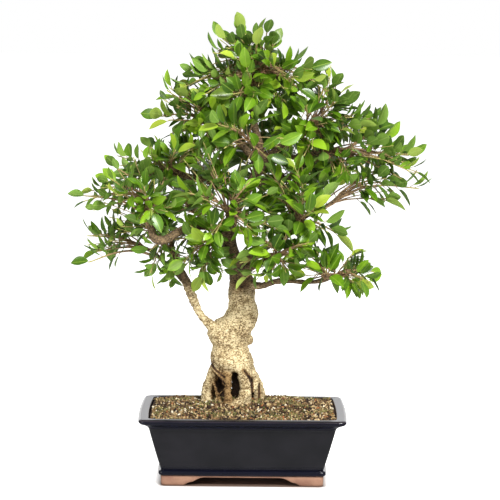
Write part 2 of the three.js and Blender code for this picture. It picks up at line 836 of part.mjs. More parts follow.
// A leaf as a thin closed blade: two faces that meet at its edge, each folded along the rib and sagging
// to the tip.
function leafGeometry({ base, way, normal, length, width }) {
  const across = new THREE.Vector3().crossVectors(normal, way);
  const place = (share, side, rise) =>
    base
      .clone()
      .addScaledVector(way, share * length)
      .addScaledVector(across, side * width * 0.5)
      .addScaledVector(normal, rise + Math.abs(side) * LEAF_FOLD * width - LEAF_SAG * length * share ** 2);
  const edge = [
    place(0, 0, 0),
    ...LEAF_OUTLINE.map(([share, half]) => place(share, -half, 0)),
    place(1, 0, 0),
    ...LEAF_OUTLINE.map(([share, half]) => place(share, half, 0)).reverse(),
  ];
  const rib = [1, -1].map((face) => place(LEAF_RIB_SHARE, 0, (face * LEAF_THICKNESS) / 2));
  const positions = [...edge, ...rib].flatMap((p) => [p.x, p.y, p.z]);
  const around = edge.map((_, i) => [i, (i + 1) % edge.length]);
  const upper = around.map(([a, b]) => [a, b, edge.length]);
  const lower = around.map(([a, b]) => [b, a, edge.length + 1]);
  const geometry = new THREE.BufferGeometry();
  geometry.setAttribute("position", new THREE.BufferAttribute(new Float32Array(positions), 3));
  geometry.setIndex([...upper, ...lower].flat());
  return geometry;
}

// A shoot's twig and leaves as one solid.
const shootSolid = ({ twig, leaves }) =>
  union([solid(stem(twig, TWIG_SIDES)), ...leaves.map((leaf) => solid(leafGeometry(leaf)))]);

const limbs = Object.values(LIMBS).map(limbLine);
const trunkWidths = TRUNK.map(({ wide, deep }) => Math.max(wide, deep));
const trunkLine = { path: TRUNK.map(({ at }) => at), widths: trunkWidths };
const limbBoxes = [trunkLine, ...limbs].flatMap((line) => stemBoxes(line, 1));
const laid = [];
PADS.forEach((pad) => {
  for (let i = 0; i < pad.shoots + pad.tips.length; i++) {
    laid.push(...layShoot(pad, i, laid.length, limbBoxes, laid));
  }
});
const taken = [...limbBoxes, ...laid.flatMap(({ stubBoxes, twigBoxes }) => [...stubBoxes, ...twigBoxes])];
const shoots = laid.map((shoot, i) => leafShoot(shoot, i, taken));

function treeSolid() {
  const knob = new THREE.SphereGeometry(KNOB.radius, 8, 6).translate(KNOB.at.x, KNOB.at.y, KNOB.at.z);
  return union([
    solid(loft(TRUNK.map(trunkRing))),
    solid(knob),
    ...rootStems(0),
    ...strandStems(0),
    ...limbs.map((line) => solid(stem(line, LIMB_SIDES))),
    ...shoots.map(({ stub }) => solid(stem(stub, TWIG_SIDES))),
  ]);
}

// The filling

// Height of the filling: a mound round the trunk with low ripples, falling to the level at the rim.
function soilHeight(x, y) {
  const fromTree = ((x - TREE_X) / 120) ** 2 + ((y - TREE_Y) / 75) ** 2;
  const ripple = 1.2 * Math.sin(x / 17) * Math.cos(y / 13);
  return POT_HEIGHT - SOIL_EDGE_DROP + SOIL_MOUND_HEIGHT * Math.exp(-fromTree) + ripple;
}

// The filling's own outline at a height: the pot's inside, a gap smaller.
function soilSolid() {
  const wall = [
    [INSIDE_FLOOR_INSET + 6 + GAP, FLOOR_TOP + GAP],
    [INSIDE_FLOOR_INSET + GAP, FLOOR_TOP + 6 + GAP],
    [INSIDE_TOP_INSET + GAP, POT_HEIGHT - 23],
    [RIM_WIDTH + 2 + 2 * GAP, POT_HEIGHT - 8 - GAP],
  ].map(([inset, height]) => potOutline(inset, height));
  const edge = wall[wall.length - 1];
  const top = [1, 0.8, 0.55, 0.3, 0.12].map((share) =>
    edge.map((p) => {
      const x = mix(TREE_X, p.x, share);
      const y = mix(TREE_Y, p.y, share);
      return point(x, y, share === 1 ? POT_HEIGHT - SOIL_EDGE_DROP : soilHeight(x, y));
    }),
  );
  const pockets = [-1, 1].map((side) => {
    const room = SCREEN_SIDE + 2 * GAP;
    const deep = SCREEN_THICKNESS + 2 * GAP + 2;
    const pocket = new THREE.BoxGeometry(room, room, deep);
    return solid(pocket.translate((side * DRAIN_SPACING) / 2, 0, FLOOR_TOP - 2 + deep / 2 + GAP));
  });
  const full = solid(loft([...wall, ...top]));
  const cuts = [...pockets, ...rootStems(GAP), ...strandStems(GAP)];
  return cuts.reduce((filling, cut) => filling.subtract(cut), full);
}

// Finishes

const finish = (color, roughness) => new THREE.MeshStandardMaterial({ color, roughness, metalness: 0 });
const GLAZE = finish(0x1e1f2b, 0.25);
const SOIL = finish(0x6f5a41, 0.95);
const MESH_PLASTIC = finish(0x23241f, 0.6);
const BARK = finish(0xb9a77c, 0.9);
const LEAF = finish(0x4f8a2a, 0.4);

function piece(name, made, material) {
  const mesh = new THREE.Mesh(geometryOf(made), material);
  mesh.name = name;
  return mesh;
}

const bonsai = new THREE.Group();
bonsai.add(piece("pot", potSolid(), GLAZE));
bonsai.add(piece("drain_screen_left", screenSolid(-1), MESH_PLASTIC));
bonsai.add(piece("drain_screen_right", screenSolid(1), MESH_PLASTIC));
bonsai.add(piece("soil", soilSolid(), SOIL));
bonsai.add(piece("tree", treeSolid(), BARK));
shoots.forEach((shoot, i) => {
  bonsai.add(piece("shoot_" + String(i + 1).padStart(2, "0"), shootSolid(shoot), LEAF));
});

// The origin is the middle of the whole object's box, on the surface that the feet stand on.
const reach = new THREE.Box3().setFromObject(bonsai);
const middle = reach.getCenter(new THREE.Vector3());
bonsai.position.set(-middle.x, -middle.y, 0);

export default bonsai;
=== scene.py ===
"""A ficus bonsai in a glazed rectangular pot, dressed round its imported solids.

Shapes are worked out in millimetres about the middle of the pot's feet and put into meshes in metres, in
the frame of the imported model.
"""

from __future__ import annotations

import logging
import math
import sys
from dataclasses import dataclass, field, replace
from enum import Enum
from typing import Any, Optional, Sequence

import bpy
import numpy as np
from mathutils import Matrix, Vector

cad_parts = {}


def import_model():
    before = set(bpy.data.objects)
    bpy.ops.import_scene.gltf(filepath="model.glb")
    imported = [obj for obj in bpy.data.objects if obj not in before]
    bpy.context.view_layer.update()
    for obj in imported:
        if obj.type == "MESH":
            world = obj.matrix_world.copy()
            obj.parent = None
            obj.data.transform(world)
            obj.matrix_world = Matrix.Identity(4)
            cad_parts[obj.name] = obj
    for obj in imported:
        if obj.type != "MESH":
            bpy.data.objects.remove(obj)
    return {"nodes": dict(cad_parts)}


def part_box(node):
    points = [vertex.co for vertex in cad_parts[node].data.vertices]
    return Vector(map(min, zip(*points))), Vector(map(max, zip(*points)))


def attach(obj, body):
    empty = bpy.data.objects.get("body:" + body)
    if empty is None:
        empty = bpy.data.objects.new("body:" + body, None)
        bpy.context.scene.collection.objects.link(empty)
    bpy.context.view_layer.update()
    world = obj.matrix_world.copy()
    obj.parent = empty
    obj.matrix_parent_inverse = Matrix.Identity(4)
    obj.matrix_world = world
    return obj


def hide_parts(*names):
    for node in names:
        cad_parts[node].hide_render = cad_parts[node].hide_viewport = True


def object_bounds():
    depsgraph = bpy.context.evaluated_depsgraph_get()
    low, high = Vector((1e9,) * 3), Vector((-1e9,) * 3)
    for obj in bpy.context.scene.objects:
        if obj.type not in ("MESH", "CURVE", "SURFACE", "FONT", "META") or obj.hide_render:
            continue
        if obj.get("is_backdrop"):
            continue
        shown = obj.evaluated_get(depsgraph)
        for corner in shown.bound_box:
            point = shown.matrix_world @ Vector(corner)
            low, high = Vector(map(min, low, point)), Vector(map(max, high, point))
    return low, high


LOG = logging.getLogger("bonsai")
Array = np.ndarray
Material = bpy.types.Material
Box = tuple[Array, Array, Array]
Leaf = tuple[Array, ...]
MM = 0.001
UP = np.array([0.0, 0.0, 1.0])
GOLDEN_ANGLE = math.radians(137.5)
MIX_A, MIX_B = 6, 7
BODY = "root"


class Slot(Enum):
    """Material slots of the record."""

    GLAZE = "glazed_pot"
    SCREEN = "screen_mesh"
    SOIL = "soil_mix"
    BARK = "bark"
    FOLIAGE = "foliage"


# Numbers and lines


class Dice:
    """Seeded random numbers: a multiplicative generator that gives the same draws everywhere."""

    def __init__(self, seed: int) -> None:
        """Starts the row of draws.

        Args:
            seed: whole number that the row depends on.
        """
        self.state = (seed * 7919 + 104729) % 2147483647
        self.roll()
        self.roll()

    def roll(self) -> float:
        """Returns the next number between 0 and 1."""
        self.state = (self.state * 48271) % 2147483647
        return self.state / 2147483647

    def between(self, low: float, high: float) -> float:
        """Returns the next number between low and high."""
        return low + (high - low) * self.roll()

    def spread(self, reach: float) -> Array:
        """Returns a point with each coordinate between -reach and reach."""
        return np.array([self.between(-reach, reach) for _ in range(3)])


def mix(a: Any, b: Any, share: Any) -> Any:
    """Returns the value that lies the given share of the way from a to b."""
    return a + (b - a) * share


def unit(vectors: Array) -> Array:
    """Returns the vectors at length 1."""
    return vectors / np.maximum(np.linalg.norm(vectors, axis=-1, keepdims=True), 1e-12)


def square_to(way: Array) -> Array:
    """Returns a unit vector square to a direction: its cross product with up, or with X if it is steep."""
    return unit(np.cross(way, UP if abs(way[2]) < 0.9 else np.array([1.0, 0.0, 0.0])))


def waves(points: Array, length: float, seed: int, count: int = 14) -> Array:
    """Smooth noise: the sum of sine waves that run in random directions, divided by the root of their count.

    Args:
        points: places in millimetres, with x, y, z last.
        length: wavelength in millimetres.
        seed: number that the directions and phases depend on.
        count: how many waves are summed.

    Returns:
        One number for each point, about -1 to 1.
    """
    draws = np.random.default_rng(seed)
    ways = unit(draws.normal(size=(count, 3))) * draws.uniform(0.7, 1.4, (count, 1))
    phases = draws.uniform(0, 2 * math.pi, count)
    return np.sin(points @ ways.T * (2 * math.pi / length) + phases).sum(axis=-1) / math.sqrt(count)


def smooth_line(rows: Array, steps: int) -> Array:
    """Points at even steps of a smooth curve through the given ones, with their radii.

    Between two rows runs the cubic whose slope at each end is half the chord over its neighbours, with a
    mirrored point past each end of the curve. Radii are straight between rows.

    Args:
        rows: place of each given point, with its radius or depth last.
        steps: number of even steps.

    Returns:
        The steps + 1 points, in the same columns.
    """
    padded = np.vstack([2 * rows[0] - rows[1], rows, 2 * rows[-1] - rows[-2]])
    at = np.linspace(0, len(rows) - 1, steps + 1)
    low = np.minimum(at.astype(int), len(rows) - 2)
    t = (at - low)[:, None]
    before, start, end, after = (padded[low + i] for i in range(4))
    slope, next_slope = (end - before) / 2, (after - start) / 2
    curve = (
        start
        + slope * t
        + (3 * (end - start) - 2 * slope - next_slope) * t**2
        + (2 * (start - end) + slope + next_slope) * t**3
    )
    curve[:, -1] = mix(start, end, t)[:, -1]
    return curve


def even_angles(count: int) -> Array:
    """Returns even angles round a circle, from 0."""
    return 2 * math.pi * np.arange(count) / count


def in_oval(u: Any, v: Any, oval: Sequence[float]) -> Any:
    """How far out places lie in an oval.

    Args:
        u: first coordinate of each place.
        v: second coordinate of each place.
        oval: both coordinates of its middle, then both half sizes.

    Returns:
        0 at the middle, 1 at the edge.
    """
    return np.hypot((u - oval[0]) / oval[2], (v - oval[1]) / oval[3])


# Surfaces


@dataclass
class Patch:
    """Faces over points in millimetres, with what the materials read from them.

    Attributes:
        points: x, y, z of each point.
        corners: point numbers of all faces, one face after another.
        sizes: how many corners each face has.
        uv: two numbers of each point along and across its surface.
        slots: material slot of each face.
        marks: named numbers of each point.
        crease: whether a point lies on a crease; an edge between two of them is sharp.
    """

    points: Array
    corners: Array
    sizes: Array
    uv: Array
    slots: Array
    marks: dict[str, Array] = field(default_factory=dict)
    crease: Optional[Array] = None

    def creases(self) -> Array:
        """Returns whether each point lies on a crease."""
        return np.zeros(len(self.points), bool) if self.crease is None else self.crease


def at_height(plan: Array, height: Any) -> Array:
    """Returns places by x and y as points, each at its height."""
    return np.concatenate([plan, np.broadcast_to(height, plan.shape[:-1])[..., None]], axis=-1)


def sheet(points: Array, closed: bool = True, poles: bool = False) -> Patch:
    """A surface over a grid of points, facing out where the rows turn anticlockwise seen from the end that
    they run to.

    Args:
        points: rows by columns by x, y, z.
        closed: whether each row is a ring.
        poles: whether the first and the last row are each closed by a pole at their middle.

    Returns:
        The surface, with the share along a row and the share of the rows as its UV.
    """
    rows, columns = points.shape[:2]
    spans = columns if closed else columns - 1
    row, column = np.meshgrid(np.arange(rows - 1), np.arange(spans), indexing="ij")
    a = (row * columns + column).ravel()
    b = (row * columns + (column + 1) % columns).ravel()
    across, along = np.meshgrid(np.linspace(0, 1, columns), np.linspace(0, 1, rows))
    flat = [points.reshape(-1, 3)]
    uv = [np.stack([across.ravel(), along.ravel()], axis=1)]
    corners, sizes = [np.stack([a, b, b + columns, a + columns], axis=1).ravel()], [np.full(len(a), 4)]
    ring = np.arange(columns)
    for end, turn in ((0, -1), (rows - 1, 1)) if poles else ():
        pair = end * columns + np.stack([ring, np.roll(ring, -1)], axis=1)[:, ::turn]
        pole = rows * columns + len(flat) - 1
        corners.append(np.column_stack([pair, np.full(columns, pole)]).ravel())
        sizes.append(np.full(columns, 3))
        flat.append(points[end].mean(axis=0)[None])
        uv.append(np.array([[0.5, end / (rows - 1)]]))
    sizes = np.concatenate(sizes)
    return Patch(np.vstack(flat), np.concatenate(corners), sizes, np.vstack(uv), np.zeros(len(sizes), int))


def ring_sheet(points: Array) -> Patch:
    """A surface of rings whose last one joins the first.

    Args:
        points: rings by points by x, y, z.

    Returns:
        The surface, with no point twice.
    """
    patch = sheet(np.concatenate([points, points[:1]]))
    count = points.shape[0] * points.shape[1]
    patch.corners %= count
    patch.points, patch.uv = patch.points[:count], patch.uv[:count]
    return patch


def solid(points: Array, faces: Array) -> Patch:
    """Returns triangles over points as a surface, in the first slot and without UV."""
    count = len(faces)
    return Patch(points, faces.ravel(), np.full(count, 3), np.zeros((len(points), 2)), np.zeros(count, int))


def repeated(shape: Patch, points: Array, marks: dict[str, Array]) -> Patch:
    """Many copies of one set of faces, each over points of its own.

    Args:
        shape: the faces, slots and UV that every copy has.
        points: copies by points by x, y, z.
        marks: named numbers, one for each copy.

    Returns:
        All the copies as one surface.
    """
    copies, count = points.shape[:2]
    shift = np.arange(copies)[:, None] * count
    return Patch(
        points.reshape(-1, 3),
        (shape.corners[None] + shift).ravel(),
        np.tile(shape.sizes, copies),
        np.tile(shape.uv, (copies, 1)),
        np.tile(shape.slots, copies),
        {name: np.repeat(values, count) for name, values in marks.items()},
        np.tile(shape.creases(), copies),
    )


def joined(patches: Sequence[Patch]) -> Patch:
    """Several surfaces as one; a mark that one of them lacks is 0 there.

    Args:
        patches: the surfaces.

    Returns:
        All of them in one.
    """
    starts = np.cumsum([0] + [len(patch.points) for patch in patches[:-1]])
    names = sorted({name for patch in patches for name in patch.marks})
    return Patch(
        np.vstack([patch.points for patch in patches]),
        np.concatenate([patch.corners + start for patch, start in zip(patches, starts)]),
        np.concatenate([patch.sizes for patch in patches]),
        np.vstack([patch.uv for patch in patches]),
        np.concatenate([patch.slots for patch in patches]),
        {
            name: np.concatenate([patch.marks.get(name, np.zeros(len(patch.points))) for patch in patches])
            for name in names
        },
        np.concatenate([patch.creases() for patch in patches]),
    )


def tubes(paths: Array, radii: Array, sides: int) -> Patch:
    """Closed round stems along many lines of equal point count, with a pole at both ends.

    Each ring stands square to its line, and its first point is carried on from ring to ring without twist.

    Args:
        paths: lines by points by x, y, z.
        radii: radius at each point of each line.
        sides: number of points round a stem.

    Returns:
        The stems as one surface.
    """
    ways = unit(np.gradient(paths, axis=1))
    steep = np.abs(ways[:, :1, 2]) > 0.9
    across = unit(np.cross(ways[:, 0], np.where(steep, [1.0, 0.0, 0.0], UP)))
    angles = even_angles(sides)[:, None]
    rings = []
    for step in range(paths.shape[1]):
        way = ways[:, step]
        across = unit(across - way * (across * way).sum(axis=-1, keepdims=True))
        around = across[:, None] * np.cos(angles) + np.cross(way, across)[:, None] * np.sin(angles)
        rings.append(paths[:, step, None] + around * radii[:, step, None, None])
    rings = np.stack(rings, axis=1)
    flat = rings.reshape(len(paths), -1, 3)
    points = np.concatenate([flat, rings[:, :1].mean(axis=2), rings[:, -1:].mean(axis=2)], axis=1)
    return repeated(sheet(rings[0], poles=True), points, {})


def read(items: Any, name: str, kind: Any, width: int) -> Array:
    """Reads a property of a mesh.

    Args:
        items: all its vertices or edges.
        name: name of the property.
        kind: type of its numbers.
        width: how many numbers each item has.

    Returns:
        One row for each item.
    """
    values = np.zeros(len(items) * width, kind)
    items.foreach_get(name, values)
    return values.reshape(-1, width)


def new_object(name: str, patch: Patch, origin: Array, materials: Sequence[Material]) -> Any:
    """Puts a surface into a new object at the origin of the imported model's frame.

    Args:
        name: name of the object.
        patch: the surface.
        origin: where its own middle stands, in metres.
        materials: one for each slot.

    Returns:
        The object.
    """
    mesh = bpy.data.meshes.new(name)
    mesh.vertices.add(len(patch.points))
    mesh.vertices.foreach_set("co", (patch.points * MM + origin).astype(np.float32).ravel())
    mesh.loops.add(len(patch.corners))
    mesh.loops.foreach_set("vertex_index", patch.corners.astype(np.int32))
    mesh.polygons.add(len(patch.sizes))
    starts = np.cumsum(patch.sizes) - patch.sizes
    mesh.polygons.foreach_set("loop_start", starts.astype(np.int32))
    mesh.polygons.foreach_set("material_index", patch.slots.astype(np.int32))
    mesh.polygons.foreach_set("use_smooth", np.ones(len(patch.sizes), bool))
    mesh.update(calc_edges=True)
    layer = mesh.uv_layers.new(name="UVMap")
    layer.data.foreach_set("uv", patch.uv[patch.corners].astype(np.float32).ravel())
    for mark, values in patch.marks.items():
        mesh.attributes.new(mark, "FLOAT", "POINT").data.foreach_set("value", values.astype(np.float32))
    crease = patch.creases()
    if crease.any():
        sharp = crease[read(mesh.edges, "vertices", np.int32, 2)].all(axis=1)
        mesh.attributes.new("sharp_edge", "BOOLEAN", "EDGE").data.foreach_set("value", sharp)
    mesh.validate()
    for material in materials:
        mesh.materials.append(material)
    made = bpy.data.objects.new(name, mesh)
    bpy.context.scene.collection.objects.link(made)
    return made


def settle(piece: Any, nodes: Sequence[str]) -> None:
    """Lets a piece ride on the body and stand for its CAD nodes, and reports it.

    Args:
        piece: the object.
        nodes: names of the CAD nodes that it stands for.
    """
    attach(piece, BODY)
    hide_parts(*nodes)
    LOG.info("%s: %d triangles", piece.name, sum(len(face.vertices) - 2 for face in piece.data.polygons))


@dataclass
class Assembly:
    """What is built about the middle of the pot's feet.

    Attributes:
        origin: where that point stands, in metres.
    """

    origin: Array


# Finishes


def colour(code: str) -> tuple[float, float, float, float]:
    """Turns an sRGB colour into a linear one.

    Args:
        code: the colour in hex digits after a #.

    Returns:
        Red, green, blue and alpha.
    """
    channels = [int(code[i : i + 2], 16) / 255 for i in (1, 3, 5)]
    linear = [c / 12.92 if c <= 0.04045 else ((c + 0.055) / 1.055) ** 2.4 for c in channels]
    return (*linear, 1.0)


def scale_of(size: float) -> float:
    """Returns a texture's scale, in features to the metre, from the size of a feature in millimetres."""
    return 1.0 / (size * MM)


def feed(node: Any, given: dict[Any, Any]) -> None:
    """Sets a shader node's properties and inputs and links what other nodes give it.

    Args:
        node: the node.
        given: by name or number, a value, a hex colour, an output socket, or a node that gives its factor,
            or else its first output in use.
    """
    for key, value in given.items():
        if isinstance(key, str) and hasattr(node, key):
            setattr(node, key, value)
            continue
        if isinstance(value, bpy.types.Node):
            value = value.outputs.get("Fac") or next(out for out in value.outputs if out.enabled)
        if isinstance(value, bpy.types.NodeSocket):
            node.id_data.links.new(value, node.inputs[key])
        else:
            node.inputs[key].default_value = colour(value) if isinstance(value, str) else value


def add_node(owner: Any, kind: str, given: dict[Any, Any], stops: Sequence[tuple[float, str]] = ()) -> Any:
    """Adds a shader node with its settings and links.

    Args:
        owner: the material or the world.
        kind: type name of the node, without ShaderNode.
        given: what its properties and inputs get.
        stops: places and hex colours of a colour ramp.

    Returns:
        The node.
    """
    made = owner.node_tree.nodes.new("ShaderNode" + kind)
    feed(made, given)
    if stops:
        ramp = made.color_ramp
        while len(ramp.elements) < len(stops):
            ramp.elements.new(1.0)
        for element, (place, code) in zip(ramp.elements, stops):
            element.position = place
            element.color = colour(code)
    return made


@dataclass(frozen=True)
class Finish:
    """What every finish has: its name, how its surface answers light, and how strongly its finest relief
    shows and how high it is in millimetres."""

    name: str
    roughness: float = 0.5
    relief: float = 0.0
    relief_height: float = 0.0
    ior: float = 1.5

    def start(self) -> tuple[Material, Any]:
        """Makes a new material.

        Returns:
            The material, and the output with the object's own coordinates.
        """
        made = bpy.data.materials.new(self.name)
        made.use_nodes = True
        return made, add_node(made, "TexCoord", {}).outputs["Object"]

    def close(self, made: Material, sockets: dict[str, Any], height: Any = None) -> Material:
        """Feeds the material's principled shader.

        Args:
            made: the material.
            sockets: what the shader's sockets get besides roughness and IOR.
            height: node that gives the relief, if there is one.

        Returns:
            The material.
        """
        if height is not None:
            given = {"Strength": self.relief, "Distance": self.relief_height * MM, "Height": height}
            sockets = {**sockets, "Normal": add_node(made, "Bump", given)}
        shader = made.node_tree.nodes["Principled BSDF"]
        feed(shader, {"Roughness": self.roughness, "IOR": self.ior, **sockets})
        return made


@dataclass(frozen=True)
class GlazedStoneware(Finish):
    """Stoneware dipped in an iron and cobalt glaze and gloss fired: near black with a blue cast, glassy, a
    little uneven in depth, with the clay just showing through where the glaze runs thin over an edge."""

    deep: str = "#17171b"
    shallow: str = "#1e1d22"
    pooled: str = "#090a18"
    thin: str = "#3c3438"
    # Light grey painted on the ends of the rim's flat top: a painted reflection of the white surroundings.
    painted_reflection: str = "#747376"
    pooled_gloss: float = 0.25

    def material(self) -> Material:
        """Cloudy depth of glaze, thin edges, a rim painted light grey as a reflection, and orange peel.

        Returns:
            The finish.
        """
        made, place = self.start()
        cloud = add_node(made, "TexNoise", {"Vector": place, "Scale": scale_of(45), "Detail": 3.0})
        depth = add_node(made, "ValToRGB", {"Fac": cloud}, ((0.35, self.deep), (0.68, self.shallow)))
        pool = add_node(made, "Attribute", {"attribute_name": "pooled"})
        blue = add_node(made, "Mix", {"data_type": "RGBA", 0: pool, MIX_A: depth, MIX_B: self.pooled})
        # Painted reflection: where the mark flat is set, the glaze is painted light grey.
        rim = add_node(made, "Attribute", {"attribute_name": "flat"})
        grey = add_node(made, "Mix", {"data_type": "RGBA", 0: rim, MIX_A: blue, MIX_B: self.painted_reflection})
        edge = add_node(made, "Attribute", {"attribute_name": "thin"})
        wavering = add_node(made, "Math", {"operation": "MULTIPLY", "use_clamp": True, 0: edge, 1: cloud})
        body = add_node(made, "Mix", {"data_type": "RGBA", 0: wavering, MIX_A: grey, MIX_B: self.thin})
        ends = {"To Min": self.roughness, "To Max": self.roughness * self.pooled_gloss}
        gloss = add_node(made, "MapRange", {"clamp": False, "Value": pool, **ends})
        # Orange peel of a dipped glaze is 3 to 5 mm from crest to crest.
        peel = add_node(made, "TexNoise", {"Vector": place, "Scale": scale_of(4), "Detail": 1.0})
        return self.close(made, {"Base Color": body, "Roughness": gloss}, peel)


@dataclass(frozen=True)
class BareStoneware(Finish):
    """The same clay left unglazed on the feet: pink-brown, dry and chalky, with grog specks."""

    clay: str = "#a27b64"
    smoky: str = "#88614f"
    speck: str = "#5b4133"

    def material(self) -> Material:
        """Kiln shading in soft clouds and specks of grog of about 1 mm.

        Returns:
            The finish.
        """
        made, place = self.start()
        cloud = add_node(made, "TexNoise", {"Vector": place, "Scale": scale_of(22), "Detail": 4.0})
        clay = add_node(made, "ValToRGB", {"Fac": cloud}, ((0.3, self.smoky), (0.62, self.clay)))
        grog = add_node(made, "TexVoronoi", {"Vector": place, "Scale": scale_of(2.4)})
        ends = {"From Min": 0.1, "From Max": 0.22, "To Min": 0.55, "To Max": 0.0}
        speck = add_node(made, "MapRange", {"Value": grog, **ends})
        body = add_node(made, "Mix", {"data_type": "RGBA", 0: speck, MIX_A: clay, MIX_B: self.speck})
        grit = add_node(made, "TexNoise", {"Vector": place, "Scale": scale_of(0.9), "Detail": 3.0})
        return self.close(made, {"Base Color": body}, grit)


@dataclass(frozen=True)
class MixedGrit(Finish):
    """Bonsai grit of fired clay, pumice and bark chips, washed and dusty: every grain has one colour of its
    own, from near black through browns and greys to tan and a rusty orange."""

    grains: tuple[tuple[float, str], ...] = (
        (0.0, "#2a1d13"), (0.17, "#4b3420"), (0.34, "#6d5234"), (0.49, "#8f7049"), (0.62, "#b29465"),
        (0.74, "#d4b989"), (0.83, "#71603c"), (0.89, "#a8683c"), (0.92, "#5b5a28"), (0.95, "#ecdfc0"),
    )

    def material(self) -> Material:
        """One colour a grain, dusted and pitted at 2 mm and finer.

        Returns:
            The finish.
        """
        made, place = self.start()
        grain = add_node(made, "Attribute", {"attribute_name": "grain"})
        own = add_node(made, "ValToRGB", {"Fac": grain}, self.grains)
        own.color_ramp.interpolation = "CONSTANT"
        dust = add_node(made, "TexNoise", {"Vector": place, "Scale": scale_of(2.2), "Detail": 4.0})
        ends = {"From Min": 0.3, "From Max": 0.7, "To Min": 0.55, "To Max": 1.3}
        shade = add_node(made, "MapRange", {"Value": dust, **ends})
        dusted = {"data_type": "RGBA", "blend_type": "MULTIPLY", 0: 1.0, MIX_A: own, MIX_B: shade}
        return self.close(made, {"Base Color": add_node(made, "Mix", dusted)}, dust)


@dataclass(frozen=True)
class CushionMoss(Finish):
    """Dry cushion moss on the grit: matt, olive to fresh green, each tuft a little different."""

    dry: str = "#6a5f28"
    fresh: str = "#868535"
    sheen: float = 0.2

    def material(self) -> Material:
        """A green of its own for each tuft.

        Returns:
            The finish.
        """
        made, _ = self.start()
        grain = add_node(made, "Attribute", {"attribute_name": "grain"})
        own = add_node(made, "ValToRGB", {"Fac": grain}, ((0.1, self.dry), (0.9, self.fresh)))
        return self.close(made, {"Base Color": own, "Sheen Weight": self.sheen})


@dataclass(frozen=True)
class FicusBark(Finish):
    """Ficus bark: thin and dry, cracked into pale cream plates of 3 to 6 mm with brown between them, and
    grey-brown and rougher where the wood is old at the top."""

    plate: str = "#e3d2a8"
    tan: str = "#bba375"
    olive: str = "#86714a"
    crack: str = "#664f34"
    old_plate: str = "#8c7452"
    old_crack: str = "#2f2416"
    # The stops from dry to hollow darken the bark: painted shade between the roots, in the grooves and in the
    # front hollow, and the scar's own dark colour; white leaves the bark as it is.
    dry: str = "#ffffff"
    painted_half_shade: str = "#bda78a"
    shade: str = "#5e4632"
    hollow: str = "#4a382c"
    pale_below: float = 0.366
    old_above: float = 0.39
    wander: float = 0.12

    def material(self) -> Material:
        """Worm-like pale ridges, patches, a change with height, and painted shade in the hollows with the
        scar's dark colour.

        Returns:
            The finish.
        """
        made, place = self.start()
        # Ridges are wider than they are high.
        low = add_node(made, "Mapping", {"Vector": place, "Scale": (1.0, 1.0, 1.45)})
        worms = {"Scale": scale_of(3.7), "Detail": 3.0, "Roughness": 0.62, "Distortion": 0.7}
        ridges = add_node(made, "TexNoise", {"Vector": low, **worms})
        patch = add_node(made, "TexNoise", {"Vector": place, "Scale": scale_of(24), "Detail": 4.0})
        # Where a patch is dark, its cracks are wide.
        speckled = add_node(made, "Math", {"operation": "MULTIPLY_ADD", 0: patch, 1: 0.34, 2: ridges})
        stops = ((0.54, self.crack), (0.61, self.olive), (0.67, self.tan), (0.75, self.plate))
        pale = add_node(made, "ValToRGB", {"Fac": speckled}, stops)
        scales = {"feature": "DISTANCE_TO_EDGE", "Scale": scale_of(6.5), "Randomness": 1.0}
        flakes = add_node(made, "TexVoronoi", {"Vector": low, **scales})
        flaked = add_node(made, "Math", {"operation": "MULTIPLY_ADD", 0: flakes, 1: 0.35, 2: ridges})
        old = add_node(made, "ValToRGB", {"Fac": flaked}, ((0.4, self.old_crack), (0.72, self.old_plate)))
        tall = add_node(made, "SeparateXYZ", {"Vector": place}).outputs["Z"]
        # The change with height wanders up and down with the patches, whose middle value is a half.
        uneven = add_node(made, "Math", {"operation": "MULTIPLY_ADD", 0: patch, 1: self.wander, 2: tall})
        half = self.wander / 2
        ends = {"From Min": self.pale_below + half, "From Max": self.old_above + half}
        age = add_node(made, "MapRange", {"Value": uneven, **ends})
        body = add_node(made, "Mix", {"data_type": "RGBA", 0: age, MIX_A: pale, MIX_B: old})
        # Between the roots, in the grooves and in the front hollow the wood is darkened as painted shade; the
        # scar on the front is dark of its own.
        inner = add_node(made, "Attribute", {"attribute_name": "shade_and_scar"})
        stops = ((0.0, self.dry), (0.5, self.painted_half_shade), (0.85, self.shade), (1.0, self.hollow))
        painted_half_shade = add_node(made, "ValToRGB", {"Fac": inner}, stops)
        darkened = {"data_type": "RGBA", "blend_type": "MULTIPLY", 0: 1.0, MIX_A: body, MIX_B: painted_half_shade}
        return self.close(made, {"Base Color": add_node(made, "Mix", darkened)}, speckled)


@dataclass(frozen=True)
class TwigBark(Finish):
    """Bark of young ficus wood: tan-brown and lightly ringed near the limb, yellow-green at the growing
    end. The share of age comes from the stem itself."""

    wood: str = "#a5865f"
    dark: str = "#6a5038"
    green: str = "#b3b45c"

    def material(self) -> Material:
        """Speckled wood that turns green with the mark named fresh.

        Returns:
            The finish.
        """
        made, place = self.start()
        fleck = add_node(made, "TexNoise", {"Vector": place, "Scale": scale_of(4), "Detail": 3.0})
        wood = add_node(made, "ValToRGB", {"Fac": fleck}, ((0.35, self.dark), (0.6, self.wood)))
        fresh = add_node(made, "Attribute", {"attribute_name": "fresh"})
        body = add_node(made, "Mix", {"data_type": "RGBA", 0: fresh, MIX_A: wood, MIX_B: self.green})
        return self.close(made, {"Base Color": body}, fleck)


